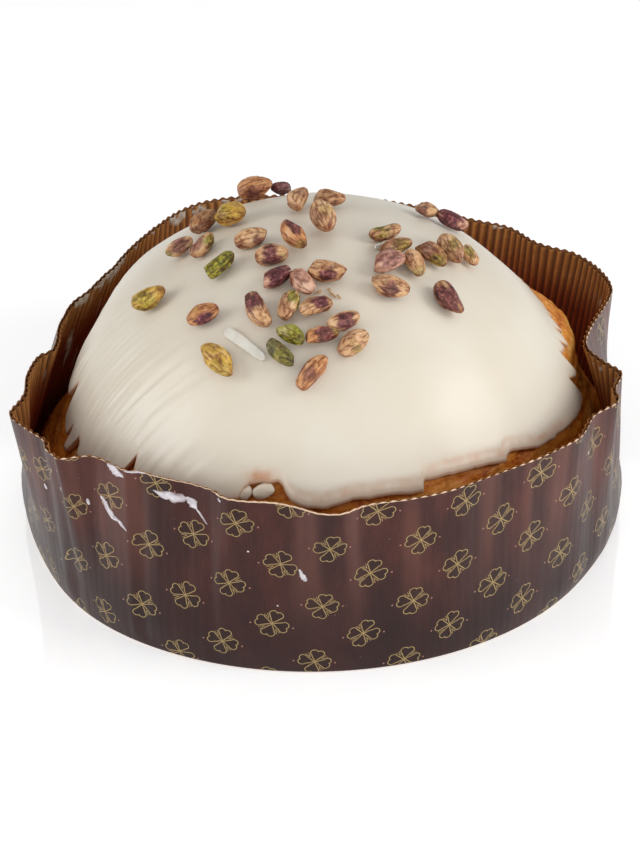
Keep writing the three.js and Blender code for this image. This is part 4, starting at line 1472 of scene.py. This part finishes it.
def smearRows(number, stroke, widths, thickness):
    # a low mound along a stroke: its height is the sine round it times the thickness,
    # its half width swells and ends with the root of a sine, and its outline is ragged
    k = smearShape
    share, level = np.array(stroke).T
    ring = np.linspace(0, 1, len(stroke))
    s = (1 - np.cos(np.linspace(0.03, 0.97, k["steps"]) * np.pi)) / 2
    midX = np.interp(s, ring, share) * rimLength
    midZ = np.interp(s, ring, level)
    half = np.interp(s, ring, widths) * np.sqrt(np.sin(np.pi * s)) ** 0.7
    length = np.hypot(np.gradient(midX), np.gradient(midZ))
    normalX, normalZ = -np.gradient(midZ) / length, np.gradient(midX) / length
    angle = 2 * np.pi * np.arange(k["around"])[None, :] / k["around"]
    across, rise = np.cos(angle), np.sin(angle)
    spot = triple(midX[:, None], midZ[:, None], across * 2)
    ragged = 1 + 0.45 * noise(spot, 0.9, 701 + number, 3)
    x = midX[:, None] + across * half[:, None] * ragged * normalX[:, None]
    z = midZ[:, None] + across * half[:, None] * ragged * normalZ[:, None]
    proud = np.maximum(rise, 0) ** 0.8 * thickness * (0.75 + 0.5 * noise(spot, 1.2, 731 + number, 2))
    mound = np.where(rise > 0, proud, rise * 0.08)
    mound = mound * np.sqrt(np.sin(np.pi * s))[:, None]
    face, out = wallPlain(x / rimLength, np.minimum(z, k["highest"]))
    rows = face + out * mound[..., None]
    film = np.abs(across) ** 3 + 0.6 * noise(spot, (1.6, 1.6, 1.6), 761 + number, 3)
    film = np.clip(film, 0, 1) + 0 * mound
    return rows[:, ::-1], poles(rows), film[:, ::-1]


def driedIcing():
    material, tree, shader = startMaterial("driedIcing", Roughness=0.55)
    place = onObject(tree)
    grain = cloud(tree, place, 500.0, 4.0)
    white = ramp(tree, grain, smearShape["white"])
    paint(tree, shader, tint(tree, white, attribute(tree, "film"), *smearShape["film"]))
    relief(tree, shader, grain, 0.0003, 0.6)
    return material


icingDried = driedIcing()
strokes = []
for number, (stroke, widths, thickness) in enumerate(smears):
    points, tips, film = smearRows(number, stroke, widths, thickness)
    strokes.append(surface(f"smear{number}", points, icingDried, bottom=tips[0], top=tips[1],
                           values={"film": film}))
icingSmears = joined("icingSmears", strokes)
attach(icingSmears, "root")
print("icing smears on the case")

# Floor, light and colour

# The floor's side in metres and its own glow, the strength of the sky, and the lights:
# where each stands, what it is aimed at, its width and height in metres, its power in watts.
studio = {
    "floor": 6.0,
    "floorBelow": 0.0002,
    "floorTone": [(0.3, (0.93, 0.93, 0.93, 1)), (0.7, (0.95, 0.95, 0.95, 1))],
    "glow": 0.40,
    "sky": 0.37,
    "lights": {
        "topLight": ((0.1, 0.05, 1.3), (0, 0, 0.06), (1.4, 1.4), 1.1),
        "keyLight": ((-0.35, -0.75, 1.15), (0, 0, 0.06), (0.9, 0.9), 0.8),
        "leftLight": ((-1.1, -0.25, 0.45), (0, 0, 0.05), (0.6, 0.9), 5.3),
        "rightLight": ((1.05, -0.35, 0.55), (0, 0, 0.05), (0.5, 0.9), 6.5),
        "frontLight": ((0.45, -1.42, 0.40), (0, 0, 0.06), (1.6, 0.6), 6.2),
        "backLight": ((0.1, 1.0, 0.95), (0, 0, 0.08), (1.2, 0.6), 1.3),
    },
}


def paleFloor():
    half, low = studio["floor"] / 2, -studio["floorBelow"]
    corners = [(-half, -half, low), (half, -half, low), (half, half, low), (-half, half, low)]
    mesh = bpy.data.meshes.new("floor")
    mesh.from_pydata(corners, [], [(0, 1, 2, 3)])
    material, tree, shader = startMaterial("paleFloor", Roughness=0.06, Specular_IOR_Level=1.0,
                                           Emission_Color=(1, 1, 1, 1), Emission_Strength=studio["glow"])
    place = onObject(tree)
    paint(tree, shader, ramp(tree, cloud(tree, place, 3.0), studio["floorTone"]))
    mesh.materials.append(material)
    added("floor", mesh)


def softLight(name, place, aim, spread, power):
    lamp = bpy.data.lights.new(name, "AREA")
    lamp.shape = "RECTANGLE"
    lamp.size, lamp.size_y = spread
    lamp.energy = power
    back = unit(np.array(place) - np.array(aim))
    right = unit(np.cross([0.0, 0.0, 1.0], back))
    added(name, lamp).matrix_world = placed(right, np.cross(back, right), back, place)


paleFloor()
for name, (place, aim, spread, power) in studio["lights"].items():
    softLight(name, place, aim, spread, power)
world = bpy.data.worlds.new("studio")
world.use_nodes = True
sky = world.node_tree.nodes["Background"]
sky.inputs["Color"].default_value = (1.0, 1.0, 1.0, 1.0)
sky.inputs["Strength"].default_value = studio["sky"]
bpy.context.scene.world = world
bpy.context.scene.view_settings.view_transform = "Standard"
print("studio")
